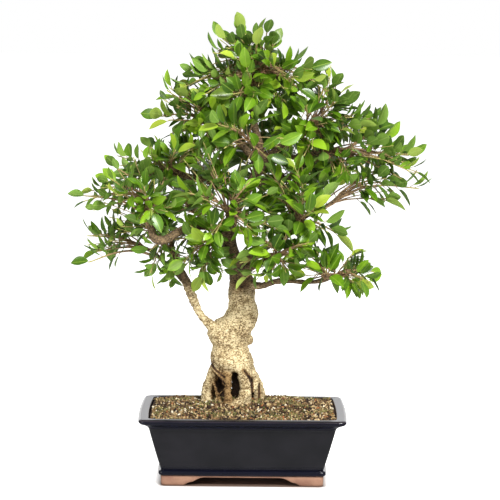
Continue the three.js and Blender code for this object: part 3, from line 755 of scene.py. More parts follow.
@dataclass(frozen=True)
class WaxyLeaf(Finish):
    """A ficus leaf: leathery, its upper side waxed and glossy, green with a paler rib, each leaf with a tone
    of its own and the young ones yellow-green. Seen from below it is paler and matt."""

    dark: str = "#304e0a"
    middle: str = "#557d10"
    light: str = "#88b022"
    young: str = "#c6d648"
    rib: str = "#93b03e"
    wax: float = 0.32
    wax_roughness: float = 0.22
    shine: float = 0.35
    side_veins: int = 11

    def material(self) -> Material:
        """Tone by leaf, a pale rib and side veins in relief along the leaf's UV.

        Returns:
            The finish.
        """
        made, place = self.start()
        tone = add_node(made, "Attribute", {"attribute_name": "tone"})
        soft = add_node(made, "TexNoise", {"Vector": place, "Scale": scale_of(14), "Detail": 2.0})
        blend = add_node(made, "Math", {"operation": "MULTIPLY_ADD", 0: soft, 1: 0.35, 2: tone})
        stops = ((0.2, self.dark), (0.62, self.middle), (1.0, self.light))
        green = add_node(made, "ValToRGB", {"Fac": blend}, stops)
        age = add_node(made, "Attribute", {"attribute_name": "young"})
        grown = add_node(made, "Mix", {"data_type": "RGBA", 0: age, MIX_A: green, MIX_B: self.young})
        uv = add_node(made, "UVMap", {"uv_map": "UVMap"})
        sides = add_node(made, "SeparateXYZ", {"Vector": uv}).outputs
        centred = add_node(made, "Math", {"operation": "SUBTRACT", 0: sides["X"], 1: 0.5})
        out = add_node(made, "Math", {"operation": "ABSOLUTE", 0: centred})
        ends = {"From Min": 0.01, "From Max": 0.05, "To Min": 0.6, "To Max": 0.0}
        rib = add_node(made, "MapRange", {"Value": out, **ends})
        body = add_node(made, "Mix", {"data_type": "RGBA", 0: rib, MIX_A: grown, MIX_B: self.rib})
        # Side veins leave the rib every 4 mm and slant towards the tip.
        slant = add_node(made, "Math", {"operation": "MULTIPLY_ADD", 0: out, 1: -0.55, 2: sides["Y"]})
        vein = add_node(made, "Math", {"operation": "MULTIPLY", 0: slant, 1: 2 * math.pi * self.side_veins})
        ridge = add_node(made, "Math", {"operation": "SINE", 0: vein})
        relief = add_node(made, "Math", {"operation": "MULTIPLY_ADD", 0: rib, 1: -9.0, 2: ridge})
        coat = {"Coat Weight": self.wax, "Coat Roughness": self.wax_roughness}
        return self.close(made, {"Base Color": body, "Specular IOR Level": self.shine, **coat}, relief)


@dataclass(frozen=True)
class MouldedMesh(Finish):
    """Black polypropylene mesh, moulded: even, slightly shiny, its shine lowered by soil dust."""

    plastic: str = "#232420"
    dust: str = "#54493a"

    def material(self) -> Material:
        """Plastic with dust in clouds of 6 mm.

        Returns:
            The finish.
        """
        made, place = self.start()
        cloud = add_node(made, "TexNoise", {"Vector": place, "Scale": scale_of(6), "Detail": 3.0})
        body = add_node(made, "ValToRGB", {"Fac": cloud}, ((0.42, self.plastic), (0.7, self.dust)))
        return self.close(made, {"Base Color": body})


@dataclass(frozen=True)
class StudioPaper(Finish):
    """White seamless background paper, matt, lit from behind except where the pot stands on it, where a dark
    brown shadow is painted on it.

    Attributes:
        glow: how brightly it glows to the camera.
        given: how brightly it glows to everything else.
        shadow: half size of the part painted as shadow, in metres.
        fade: how far past it, in metres, the glow starts and is full.
        middle: where the pot's middle stands, in metres.
    """

    white: str = "#fbfbfa"
    # Dark brown painted under the pot as its shadow.
    painted_shadow: str = "#6a5446"
    glow: float = 1.0
    given: float = 0.3
    shadow: tuple[float, float, float] = (0.15, 0.095, 0.0)
    fade: tuple[float, float] = (0.01, 0.028)
    middle: tuple[float, float, float] = (0.0, 0.0, 0.0)

    def material(self) -> Material:
        """White with a tooth of 2 mm, a dark brown painted shadow under the pot, and a glow that starts just
        outside it.

        Returns:
            The finish.
        """
        made, place = self.start()
        off = add_node(made, "VectorMath", {"operation": "SUBTRACT", 0: place, 1: self.middle})
        size = add_node(made, "VectorMath", {"operation": "ABSOLUTE", 0: off})
        past = add_node(made, "VectorMath", {"operation": "SUBTRACT", 0: size, 1: self.shadow})
        out = add_node(made, "VectorMath", {"operation": "MAXIMUM", 0: past, 1: (0.0, 0.0, 0.0)})
        far = add_node(made, "VectorMath", {"operation": "LENGTH", 0: out})
        ends = {"From Min": self.fade[0], "From Max": self.fade[1], "To Min": 0.0}
        glow = add_node(made, "MapRange", {"Value": far, **ends})
        # The paper looks whiter than the light it throws on the pot.
        seen = add_node(made, "LightPath", {}).outputs["Is Camera Ray"]
        power = add_node(made, "MapRange", {"Value": seen, "To Min": self.given, "To Max": self.glow})
        strength = add_node(made, "Math", {"operation": "MULTIPLY", 0: glow, 1: power})
        # Painted shadow: under the pot the paper is painted dark brown, fading to white where the glow
        # starts.
        under = {"data_type": "RGBA", 0: glow, MIX_A: self.painted_shadow, MIX_B: self.white}
        tooth = add_node(made, "TexNoise", {"Vector": place, "Scale": scale_of(2)})
        light = {"Emission Color": self.white, "Emission Strength": strength}
        return self.close(made, {"Base Color": add_node(made, "Mix", under), **light}, tooth)


GLAZE = GlazedStoneware("glazed stoneware", roughness=0.3, relief=0.25, relief_height=0.2)
CLAY = BareStoneware("unglazed stoneware", roughness=0.9, relief=0.5, relief_height=0.3)
GRIT = MixedGrit("mixed bonsai grit", roughness=0.92, relief=0.6, relief_height=0.5)
MOSS = CushionMoss("cushion moss", roughness=0.95)
BARK = FicusBark("ficus bark", roughness=0.88, relief=0.7, relief_height=1.2)
TWIG = TwigBark("young ficus bark", roughness=0.7, relief=0.4, relief_height=0.4)
LEAF = WaxyLeaf("waxy ficus leaf, upper side", roughness=0.38, relief=0.12, relief_height=0.2)
UNDERSIDE = replace(
    LEAF, name="ficus leaf, underside", roughness=0.55, wax=0.0,
    dark="#52702b", middle="#6a8d35", light="#8aab49", young="#b7c75a", rib="#9db45e",
)
SCREEN = MouldedMesh("moulded polypropylene mesh", roughness=0.6)
PAPER = StudioPaper("white background paper", roughness=0.9, relief=0.05, relief_height=0.2)


# The pot


@dataclass
class Pot(Assembly):
    """The fired pot: rim, wall, bead, feet and floor in one body.

    Attributes:
        bow_depth: how far in from the rim the bow of the sides has fallen to its least share.
        arch: distance from a foot's inner end and height of the cut there.
        reflection_ends: how far from the middle the rim's painted light grey reflection starts, and over what
            length it fades in.
    """

    width: float = 410.0
    depth: float = 290.0
    height: float = 139.0
    rim_width: float = 19.5
    rim_bow: float = 3.5
    bow_depth: float = 60.0
    least_bow: float = 0.3
    corner_radius: float = 12.0
    least_radius: float = 5.0
    foot_inset: float = 43.0
    foot_thickness: float = 15.0
    foot_height: float = 20.0
    foot_width: float = 46.0
    wall: float = 8.5
    floor_top: float = 30.0
    floor_underside: float = 18.0
    drain_radius: float = 11.0
    drain_soft: float = 1.5
    drain_spacing: float = 160.0
    arc_steps: int = 9
    side_steps: int = 90
    drain_steps: int = 64
    # The rim's ends get a painted light grey reflection, which fades in from this far out.
    reflection_ends: tuple[float, float] = (168.0, 14.0)
    arch: tuple[tuple[float, float], ...] = (
        (0.0, 0.0), (1.0, 1.4), (5.0, 2.6), (8.0, 5.2), (12.0, 6.4), (17.0, 7.2), (21.0, 9.4),
        (25.0, 11.8), (33.0, 15.4), (40.0, 16.5),
    )

    def outline(self, insets: Array) -> Array:
        """The pot's outlines: rectangles with round corners whose sides bow out.

        A side's point at the share t from its middle, -1 to 1, lies bow * (1 - t * t) further out.

        Args:
            insets: how far each outline lies in from the rim's edge.

        Returns:
            Outlines by points by x and y, anticlockwise from the right end of the back.
        """
        inset = np.asarray(insets, float)[:, None]
        half_x, half_y = self.width / 2 - inset, self.depth / 2 - inset
        radius = np.maximum(self.least_radius, self.corner_radius - inset * 0.1)
        bow = self.rim_bow * mix(1, self.least_bow, np.minimum(inset / self.bow_depth, 1))
        turn = np.linspace(0, math.pi / 2, self.arc_steps)[None]
        along = np.linspace(1, -1, self.side_steps + 2)[None, 1:-1]
        pieces = []
        for quarter, (sign_x, sign_y) in enumerate(((1, 1), (-1, 1), (-1, -1), (1, -1))):
            angle = turn + quarter * math.pi / 2
            arc_x = sign_x * (half_x - radius) + radius * np.cos(angle)
            arc_y = sign_y * (half_y - radius) + radius * np.sin(angle)
            pieces.append(np.stack([arc_x, arc_y], axis=-1))
            long_side = quarter % 2 == 0
            reach, out = (half_x, half_y) if long_side else (half_y, half_x)
            # The back runs to the left, the left side to the front, and so on.
            run = (reach - radius) * along * (1 if quarter < 2 else -1)
            out = out + bow * (1 - along**2)
            pieces.append(np.stack((run, sign_y * out) if long_side else (sign_x * out, run), axis=-1))
        return np.concatenate(pieces, axis=1)

    def lift(self, plan: Array) -> Array:
        """How high the foot ring is cut away under each point of the plan.

        Between the feet the cut follows the stepped arch, at its height by the distance from the foot's
        inner end; under a foot it is 0.

        Args:
            plan: places by x and y.

        Returns:
            The height of the cut there.
        """
        steps = np.array(self.arch)
        size = np.array([self.width, self.depth]) / 2 - self.foot_inset
        past = size - self.foot_width - np.abs(plan)
        on_side = np.abs(plan[..., ::-1]) > size[::-1] - self.foot_thickness - 4
        cut = np.interp(past, steps[:, 0], steps[:, 1], left=0.0)
        return np.where(on_side, cut, 0.0).max(axis=-1)

    def profile(self) -> Array:
        """The wall's section, from the floor's underside out over foot, bead, wall, lip and rim to the
        inside. Arcs are points at even angles of a circle.

        Returns:
            Rows of inset, height, slot (1 is bare clay), how thin the glaze runs, how deep it pools and
            where the rim is flat.
        """

        def arc(inset: float, height: float, radius: float, start: float, end: float, steps: int) -> Array:
            """Returns points of an arc that bulges to the outside, from one angle to another in degrees."""
            angle = np.radians(np.linspace(start, end, steps))
            return np.stack([inset - radius * np.cos(angle), height + radius * np.sin(angle)], axis=1)

        foot, top = self.foot_inset, self.height
        inner, inside = foot + self.foot_thickness, foot + self.wall
        clay = [
            [inner, self.floor_underside], [inner, 12], [inner, 6], [inner - 0.3, 1], [inner - 1.2, 0],
            [(inner + foot) / 2, 0], [foot + 2.6, 0], [foot + 1.6, 0.35], [foot + 1, 1.2],
            [foot + 0.6, 4], [foot + 0.4, 8], [foot + 0.2, 14], [foot, 19.4],
        ]
        bead = arc(foot + 1.2, self.foot_height + 5.4, 5.6, -86, 84, 12)
        wall_foot = np.array([[foot + 0.4, self.foot_height + 11.4]])
        rise = np.linspace(0, 1, 12)[1:, None]
        wall = mix(wall_foot, np.array([[foot - 23.0, top - 22]]), rise)
        wall[:, 0] -= 0.5 * np.sin(rise[:, 0] * math.pi)
        cove = [
            [18.4, top - 19], [15.8, top - 16.4], [12.4, top - 14.2], [8.6, top - 12.4], [5.2, top - 11],
            [3, top - 9.8],
        ]
        lip = arc(3.9, top - 4.9, 3.9, -70, 62, 9)
        over = [
            [3.6, top - 0.5], [5.2, top], [11, top + 0.15], [16.5, top], [18.4, top - 0.4],
            [19.4, top - 1.6], [20.4, top - 5], [self.rim_width + 2, top - 9], [inside - 20.5, top - 23],
            [inside, self.floor_top + 6], [inside + 6, self.floor_top],
        ]
        rows = np.vstack([clay, bead, wall_foot, wall, cove, lip, over])
        inset, height = rows.T
        bare = np.arange(len(rows)) < len(clay)
        thin = np.exp(-(((height - (top - 2.2)) / 1.4) ** 2)) * (inset < 4.5)
        thin += 0.5 * np.exp(-(((height - (self.foot_height + 1.5)) / 1.2) ** 2))
        flat = 1.0 * (height > top - 1) * (inset > 4)
        deep = (height > top - 20.5) | (height < self.foot_height + 11.5)
        return np.column_stack([rows, bare, thin * ~bare, 1.0 * deep * (flat < 1) - 0.5 * flat, flat])

    def shell(self) -> Patch:
        """The wall, rim and feet: the section carried round the outlines, its foot lifted by the arches.

        Returns:
            Their surface.
        """
        rows = self.profile()
        plan = self.outline(rows[:, 0])
        height = np.broadcast_to(rows[:, 1:2], plan.shape[:2])
        raised = height + self.lift(plan) * (1 - height / self.foot_height)
        patch = ring_sheet(at_height(plan, np.where(height < self.floor_underside, raised, height)))
        columns = plan.shape[1]
        bare = (rows[:, 2] > 0) & (np.roll(rows[:, 2], -1) > 0)
        patch.slots = np.repeat(bare, columns).astype(int)
        marks = zip(("thin", "pooled", "flat"), rows[:, 3:].T)
        patch.marks = {mark: np.repeat(values, columns) for mark, values in marks}
        # The rim's flat top is painted light grey only at its ends, as a painted reflection of the white
        # surroundings.
        start, length = self.reflection_ends
        patch.marks["flat"] *= np.clip((np.abs(patch.points[:, 0]) - start) / length, 0, 1)
        return patch

    def floor(self) -> Patch:
        """The floor with its two drain holes: each half is a ring surface from its rectangle in to its
        hole, down through the hole and out again under it.

        Returns:
            Its surface.
        """
        inset = self.foot_inset + self.foot_thickness - 1.5
        half_x, half_y = self.width / 2 - inset, self.depth / 2 - inset
        top, under, soft = self.floor_top, self.floor_underside, self.drain_soft
        angle = even_angles(self.drain_steps)
        ray = np.stack([np.cos(angle), np.sin(angle)], axis=1)
        halves = []
        for side in (-1, 1):
            middle = np.array([side * self.drain_spacing / 2, 0.0])
            low = np.array([min(0.0, side * half_x), -half_y]) - middle
            high = np.array([max(0.0, side * half_x), half_y]) - middle
            reach = np.abs(np.where(ray > 0, high, low)) / np.maximum(np.abs(ray), 1e-9)
            edge = middle + ray * reach.min(axis=1, keepdims=True)
            hole = middle + ray * self.drain_radius
            round_it = hole + ray * soft
            rings = ((edge, top), (round_it, top), (hole, top - soft))
            rings += ((hole, under + soft), (round_it, under), (edge, under))
            patch = ring_sheet(np.stack([at_height(ring, z) for ring, z in rings]))
            patch.slots[:] = 1
            halves.append(patch)
        return joined(halves)

    def build(self) -> None:
        """Makes the pot and settles it."""
        patch = joined([self.shell(), self.floor()])
        pot = new_object("glazed_pot", patch, self.origin, [GLAZE.material(), CLAY.material()])
        settle(pot, ["pot"])


# The filling


@dataclass
class Filling(Assembly):
    """The grit in the pot: its body, its loose grains and the moss on it.

    Attributes:
        mound_oval: middle and half sizes of the mound round the trunk.
        body_steps: rings of the top, from the rim to the trunk.
        body_relief: height and wavelength of the top's relief, and how far the grains stand over it.
        ripple: height of the filling's low ripples.
        grain_sink: share of a small grain's half length that lies under the surface; chip_sink for chips.
        moss_cells: cells in which moss may grow, along the pot and across it.
        moss_lean: how far a tuft's tip leans, at most.
    """

    pot: Pot
    tree_x: float = -18.0
    tree_y: float = 45.0
    edge_drop: float = 4.6
    mound: float = 14.5
    mound_oval: tuple[float, float, float, float] = (2.0, 45.0, 140.0, 90.0)
    ripple: float = 1.2
    gap: float = 0.4
    body_steps: int = 60
    body_relief: tuple[float, float, float] = (0.8, 9.0, 1.2)
    grain_pitch: float = 5.0
    grain_sizes: tuple[float, float] = (2.6, 6.2)
    grain_sink: float = 0.2
    chip_cells: tuple[int, int] = (22, 12)
    chips: int = 260
    chip_sizes: tuple[float, float] = (6.0, 9.5)
    chip_sink: float = 0.1
    moss_cells: tuple[int, int] = (96, 66)
    tufts: int = 2200
    tuft_height: float = 3.2
    moss_lean: float = 1.6
    seed: int = 5

    def height(self, places: Array) -> Array:
        """Height of the filling: a mound round the trunk with low ripples, falling to the level at the rim.

        Args:
            places: x and y in millimetres.

        Returns:
            Height of each place.
        """
        x, y = places[..., 0], places[..., 1]
        mound = self.mound * np.exp(-(in_oval(x, y, self.mound_oval) ** 2))
        return self.pot.height - self.edge_drop + mound + self.ripple * np.sin(x / 17) * np.cos(y / 13)

    def body(self) -> Patch:
        """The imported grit: the pot's inside a gap smaller, closed by its uneven top.

        Returns:
            Its surface.
        """
        pot, gap = self.pot, self.gap
        inside = pot.foot_inset + pot.wall + gap
        walls = np.array(
            [
                [inside + 6, pot.floor_top + gap],
                [inside, pot.floor_top + 6 + gap],
                [inside - 20.5, pot.height - 23],
                [pot.rim_width + 2 + 2 * gap, pot.height - 8 - gap],
            ]
        )
        rings = at_height(pot.outline(walls[:, 0]), walls[:, 1:])
        share = np.linspace(1, 0.02, self.body_steps)[:, None, None]
        inner = mix(np.array([self.tree_x, self.tree_y]), rings[-1, :, :2], share)
        level = self.height(inner)
        level[0] = pot.height - self.edge_drop
        surface = at_height(inner, level)
        relief, length, drop = self.body_relief
        surface[1:, :, 2] += relief * waves(surface[1:], length, self.seed) - drop
        patch = sheet(np.concatenate([rings, surface]), poles=True)
        patch.marks = {"grain": np.full(len(patch.points), 0.2)}
        return patch

    def places(self, count_x: int, count_y: int, draws: np.random.Generator) -> Array:
        """Scattered places over the filling: a point at random in each cell of an even grid.

        Args:
            count_x: cells along the pot.
            count_y: cells across it.
            draws: source of the moves.

        Returns:
            x and y of each place that is inside the rim.
        """
        half = np.array([self.pot.width, self.pot.depth]) / 2 - self.pot.rim_width - 4
        u, v = np.meshgrid(np.arange(count_x), np.arange(count_y), indexing="ij")
        cell = np.stack([u.ravel(), v.ravel()], axis=1) + draws.uniform(0.0, 1.0, (count_x * count_y, 2))
        return (cell / [count_x, count_y] * 2 - 1) * half

    def grains(self, places: Array, sizes: Array, sink: float, draws: np.random.Generator) -> Patch:
        """Angular grains: twenty-sided lumps with their corners pushed in and out, flattened, turned at
        random and bedded in the surface.

        Args:
            places: x and y of each grain.
            sizes: half length of each grain.
            sink: share of the half length that lies under the surface.
            draws: source of the shapes.

        Returns:
            The grains as one surface.
        """
        count = len(places)
        golden = (1 + math.sqrt(5)) / 2
        corners = np.array([[0, s, t * golden] for s in (-1, 1) for t in (-1, 1)])
        base = np.concatenate([np.roll(corners, -turn, axis=1) for turn in range(3)]) / math.hypot(1, golden)
        lumps = base[None] * draws.uniform(0.72, 1.15, (count, len(base), 1))
        lumps = lumps * draws.uniform([0.9, 0.4, 0.3], [1.5, 0.8, 0.65], (count, 1, 3))
        turns = np.linalg.qr(draws.normal(size=(count, 3, 3)))[0]
        turns *= np.sign(np.linalg.det(turns))[:, None, None]
        lumps = np.einsum("nvk,nkj->nvj", lumps, turns) * sizes[:, None, None]
        lumps += at_height(places, self.height(places) + sizes * (0.5 - sink))[:, None]
        return repeated(solid(base, hull_of_twelve(base)), lumps, {"grain": draws.uniform(0, 1, count)})

    def moss(self, draws: np.random.Generator) -> Patch:
        """Tufts of moss where a slow noise over the filling is high: small four-sided spires, each leaning
        its own way.

        Args:
            draws: source of the places and leans.

        Returns:
            The tufts as one surface.
        """
        places = self.places(*self.moss_cells, draws)
        flat = at_height(places, 0.0)
        rich = waves(flat, 95, 21) + 0.7 * waves(flat, 34, 22)
        rich += 0.7 * np.exp(-(in_oval(*places.T, (self.tree_x, self.tree_y, 75, 75)) ** 2))
        places = places[np.argsort(-rich)[: self.tufts]]
        count = len(places)
        angles = even_angles(4)
        base = np.vstack([np.stack([np.cos(angles), np.sin(angles), 0 * angles], axis=1), UP])
        faces = np.array([[0, 1, 4], [1, 2, 4], [2, 3, 4], [3, 0, 4], [3, 2, 1], [3, 1, 0]])
        sizes = draws.uniform(0.6, 1.5, count)
        points = base * [1.0, 1.0, self.tuft_height] * sizes[:, None, None]
        points[:, 4, :2] += draws.uniform(-self.moss_lean, self.moss_lean, (count, 2))
        points += at_height(places, self.height(places) + draws.uniform(0.2, 2.0, count))[:, None]
        return repeated(solid(base, faces), points, {"grain": draws.uniform(0, 1, count)})

    def build(self) -> None:
        """Makes the filling's body, grains and moss and settles them."""
        draws = np.random.default_rng(self.seed)
        spans = [side - 2 * self.pot.rim_width for side in (self.pot.width, self.pot.depth)]
        places = self.places(*(int(span / self.grain_pitch) for span in spans), draws)
        sizes = draws.uniform(*self.grain_sizes, len(places)) / 1.3
        small = self.grains(places, sizes, self.grain_sink, draws)
        places = self.places(*self.chip_cells, draws)[: self.chips]
        sizes = draws.uniform(*self.chip_sizes, len(places)) / 2
        large = self.grains(places, sizes, self.chip_sink, draws)
        grit = GRIT.material()
        pieces = (
            ("soil_body", self.body(), grit),
            ("soil_grains", joined([small, large]), grit),
            ("soil_moss", self.moss(draws), MOSS.material()),
        )
        for name, patch, finish in pieces:
            settle(new_object(name, patch, self.origin, [finish]), ["soil"])


def hull_of_twelve(points: Array) -> Array:
    """The faces of a twenty-sided solid: every three corners that are one edge apart, turned to face out.

    Args:
        points: its twelve corners about the origin.

    Returns:
        Three point numbers for each face.
    """
    apart = np.linalg.norm(points[:, None] - points[None], axis=-1)
    near = (apart < apart[apart > 1e-6].min() * 1.01) & (apart > 1e-6)
    a, b, c = np.nonzero(near[:, :, None] & near[None] & near[:, None])
    faces = np.stack([a, b, c], axis=1)[(a < b) & (b < c)]
    facing = np.linalg.det(points[faces])
    return np.where(facing[:, None] > 0, faces, faces[:, ::-1])


# The tree's wood

# Places up the trunk: x, y, z, half width and half depth.
TRUNK = np.array(
    [
        [-20, 45, 212, 40, 34], [-24, 45, 225, 43, 38], [-27, 45, 242, 39, 36], [-28, 45, 258, 34.5, 33],
        [-30, 45, 271, 37, 34], [-29, 45, 285, 43, 36], [-21, 45, 299, 45, 36], [-12, 45, 312, 40, 34],
        [-3, 45, 324, 33, 31], [0, 45, 337, 29, 28], [-3, 45, 353, 26, 26], [-3, 45, 374, 26, 25],
        [-6, 45, 396, 24, 23], [-12, 45, 420, 19, 19], [-26, 42, 451, 16, 16], [-31, 40, 482, 14, 14],
        [-25, 38, 521, 13, 13], [-7, 36, 558, 12.5, 12.5], [12, 34, 593, 12, 12], [25, 32, 616, 12, 12],
        [34, 30, 640, 13, 13],
    ]
)

# Roots, from the trunk down: x, y, z and radius.
ROOTS = (
    ((-49, 38, 240, 17), (-54, 40, 214, 15), (-66, 42, 188, 13), (-74, 44, 168, 12), (-73, 46, 146, 13)),
    ((-29, 30, 230, 12), (-31, 13, 198, 9), (-30, 9, 170, 8), (-30, 7, 146, 9)),
    ((-6, 30, 238, 19), (3, 19, 205, 16), (6, 16, 175, 14.5), (2, 14, 146, 16)),
    ((-7, 46, 244, 18), (2, 47, 226, 14), (15, 50, 204, 13.5), (25, 52, 176, 12.5), (30, 54, 146, 14)),
    ((17, 58, 198, 9.5), (29, 65, 170, 8), (35, 69, 146, 9)),
    ((-36, 60, 236, 19), (-39, 68, 190, 16), (-40, 72, 146, 17)),
    ((-8, 62, 236, 19), (-6, 68, 190, 17), (-6, 72, 146, 18)),
    ((-40, 60, 236, 18), (-54, 76, 202, 14), (-62, 86, 172, 13), (-65, 91, 146, 13)),
    ((-18, 66, 236, 19), (-15, 86, 202, 15), (-12, 96, 172, 13), (-10, 101, 146, 14)),
    ((-2, 60, 236, 16), (13, 76, 202, 13), (29, 86, 172, 12), (35, 91, 146, 12)),
)

# Thin roots that hang free or cross the others: the first three are in the solids, the finer ones only here.
STRANDS = (
    ((-62, 34, 226, 5), (-52, 20, 210, 5), (-34, 17, 195, 5), (-32, 16, 187, 4)),
    ((-62, 38, 196, 3.5), (-55, 26, 172, 3), (-47, 20, 146, 3.5), (-46, 20, 136, 3.5)),
    ((27, 30, 192, 6), (21, 14, 176, 6.5), (4, 2, 160, 6.5), (-14, -2, 146, 7), (-18, -3, 136, 6)),
    ((-62, 28, 216, 2.6), (-54, 17, 204, 2.6), (-44, 13, 192, 2.6), (-37, 12, 184, 2.4)),
    ((-36, 12, 176, 1.8), (-45, 11, 168, 1.6), (-53, 14, 158, 1.6), (-56, 14, 140, 1.8)),
)

# Grooves on the front between the roots: x, z and depth along each.
GROOVES = (
    ((0, 216, 1.5), (7, 208, 3.2), (15, 196, 3.6), (19, 180, 3.6), (20, 150, 3.6)),
    ((-67, 227, 1.5), (-57, 214, 2.8), (-38, 199, 2.4)),
    ((-61, 208, 1.5), (-50, 198, 3.0), (-38, 187, 3.0)),
    ((-11, 206, 2.0), (-15, 199, 3.6), (-20, 192, 3.6)),
    ((33, 184, 1.5), (34, 170, 3.0), (33, 150, 3.0)),
)

# Limbs, out from the trunk: x, y, z and radius.
LIMBS = {
    "leftLow": (
        (-50, 42, 286, 12), (-85, 20, 322, 8), (-102, 5, 359, 7.6), (-120, -12, 406, 8),
        (-137, -20, 440, 6.5), (-146, -25, 480, 5),
    ),
    "leftFork": ((-114, -8, 394, 6), (-154, -10, 430, 4.8), (-187, 0, 457, 4.2), (-222, 5, 470, 3.8)),
    "bend": (
        (-31, 38, 486, 10), (-75, 0, 508, 9), (-118, -50, 507, 8.5), (-156, -86, 489, 9),
        (-178, -86, 494, 9), (-188, -66, 530, 7), (-195, -45, 560, 5.5),
    ),
    "leftHigh": ((-10, 36, 552, 9), (-62, 34, 590, 6.5), (-115, 24, 606, 5.5), (-160, 12, 612, 5)),
    "lowRight": (
        (2, 42, 384, 11), (37, 20, 387, 7), (67, 5, 397, 5.5), (113, 0, 397, 4.4), (153, 0, 399, 4),
        (182, 2, 410, 3.6),
    ),
    "rightMid": ((-8, 45, 420, 12), (30, 20, 455, 8.5), (75, -10, 490, 7), (108, -26, 516, 5.5)),
    "rightLong": ((74, -10, 489, 6), (125, -2, 530, 4.6), (165, 8, 550, 4.2), (205, 15, 578, 3.8)),
    "crownLeft": ((30, 30, 630, 10), (0, 38, 662, 7.5), (-34, 42, 692, 6), (-66, 44, 708, 5)),
    "crownTop": (
        (34, 30, 634, 11), (26, 26, 680, 8.5), (16, 28, 722, 7), (20, 30, 770, 6), (28, 30, 810, 4.6),
    ),
    "crownRight": ((34, 30, 632, 11), (70, 20, 666, 8), (105, 12, 690, 6.5), (132, 10, 706, 5)),
    "rightHigh": ((36, 30, 632, 8), (95, 24, 646, 5), (145, 22, 658, 4.5), (190, 20, 656, 4)),
    "front": ((-28, 36, 500, 10), (-30, 0, 518, 7.5), (-31, -40, 532, 6.5), (-32, -70, 544, 5.5)),
    "frontHigh": ((34, 30, 636, 9), (26, -8, 652, 6.5), (16, -44, 672, 5.5), (8, -66, 684, 4.8)),
    "back": ((-4, 40, 560, 10), (10, 85, 584, 7.5), (24, 120, 602, 6), (32, 145, 612, 5)),
    "backLeft": ((-27, 44, 468, 10), (-62, 84, 498, 6.5), (-92, 110, 518, 5.5), (-110, 124, 532, 4.5)),
    "backRight": ((12, 36, 590, 9), (50, 66, 596, 6), (84, 92, 600, 5), (104, 108, 604, 4.5)),
    "lowFront": ((-4, 34, 412, 10), (22, -6, 430, 7), (46, -36, 446, 5.5), (64, -54, 456, 4.8)),
    "lowLeft": ((-24, 40, 448, 9), (-46, 4, 462, 6.5), (-62, -28, 474, 5.2), (-70, -48, 482, 4.6)),
}


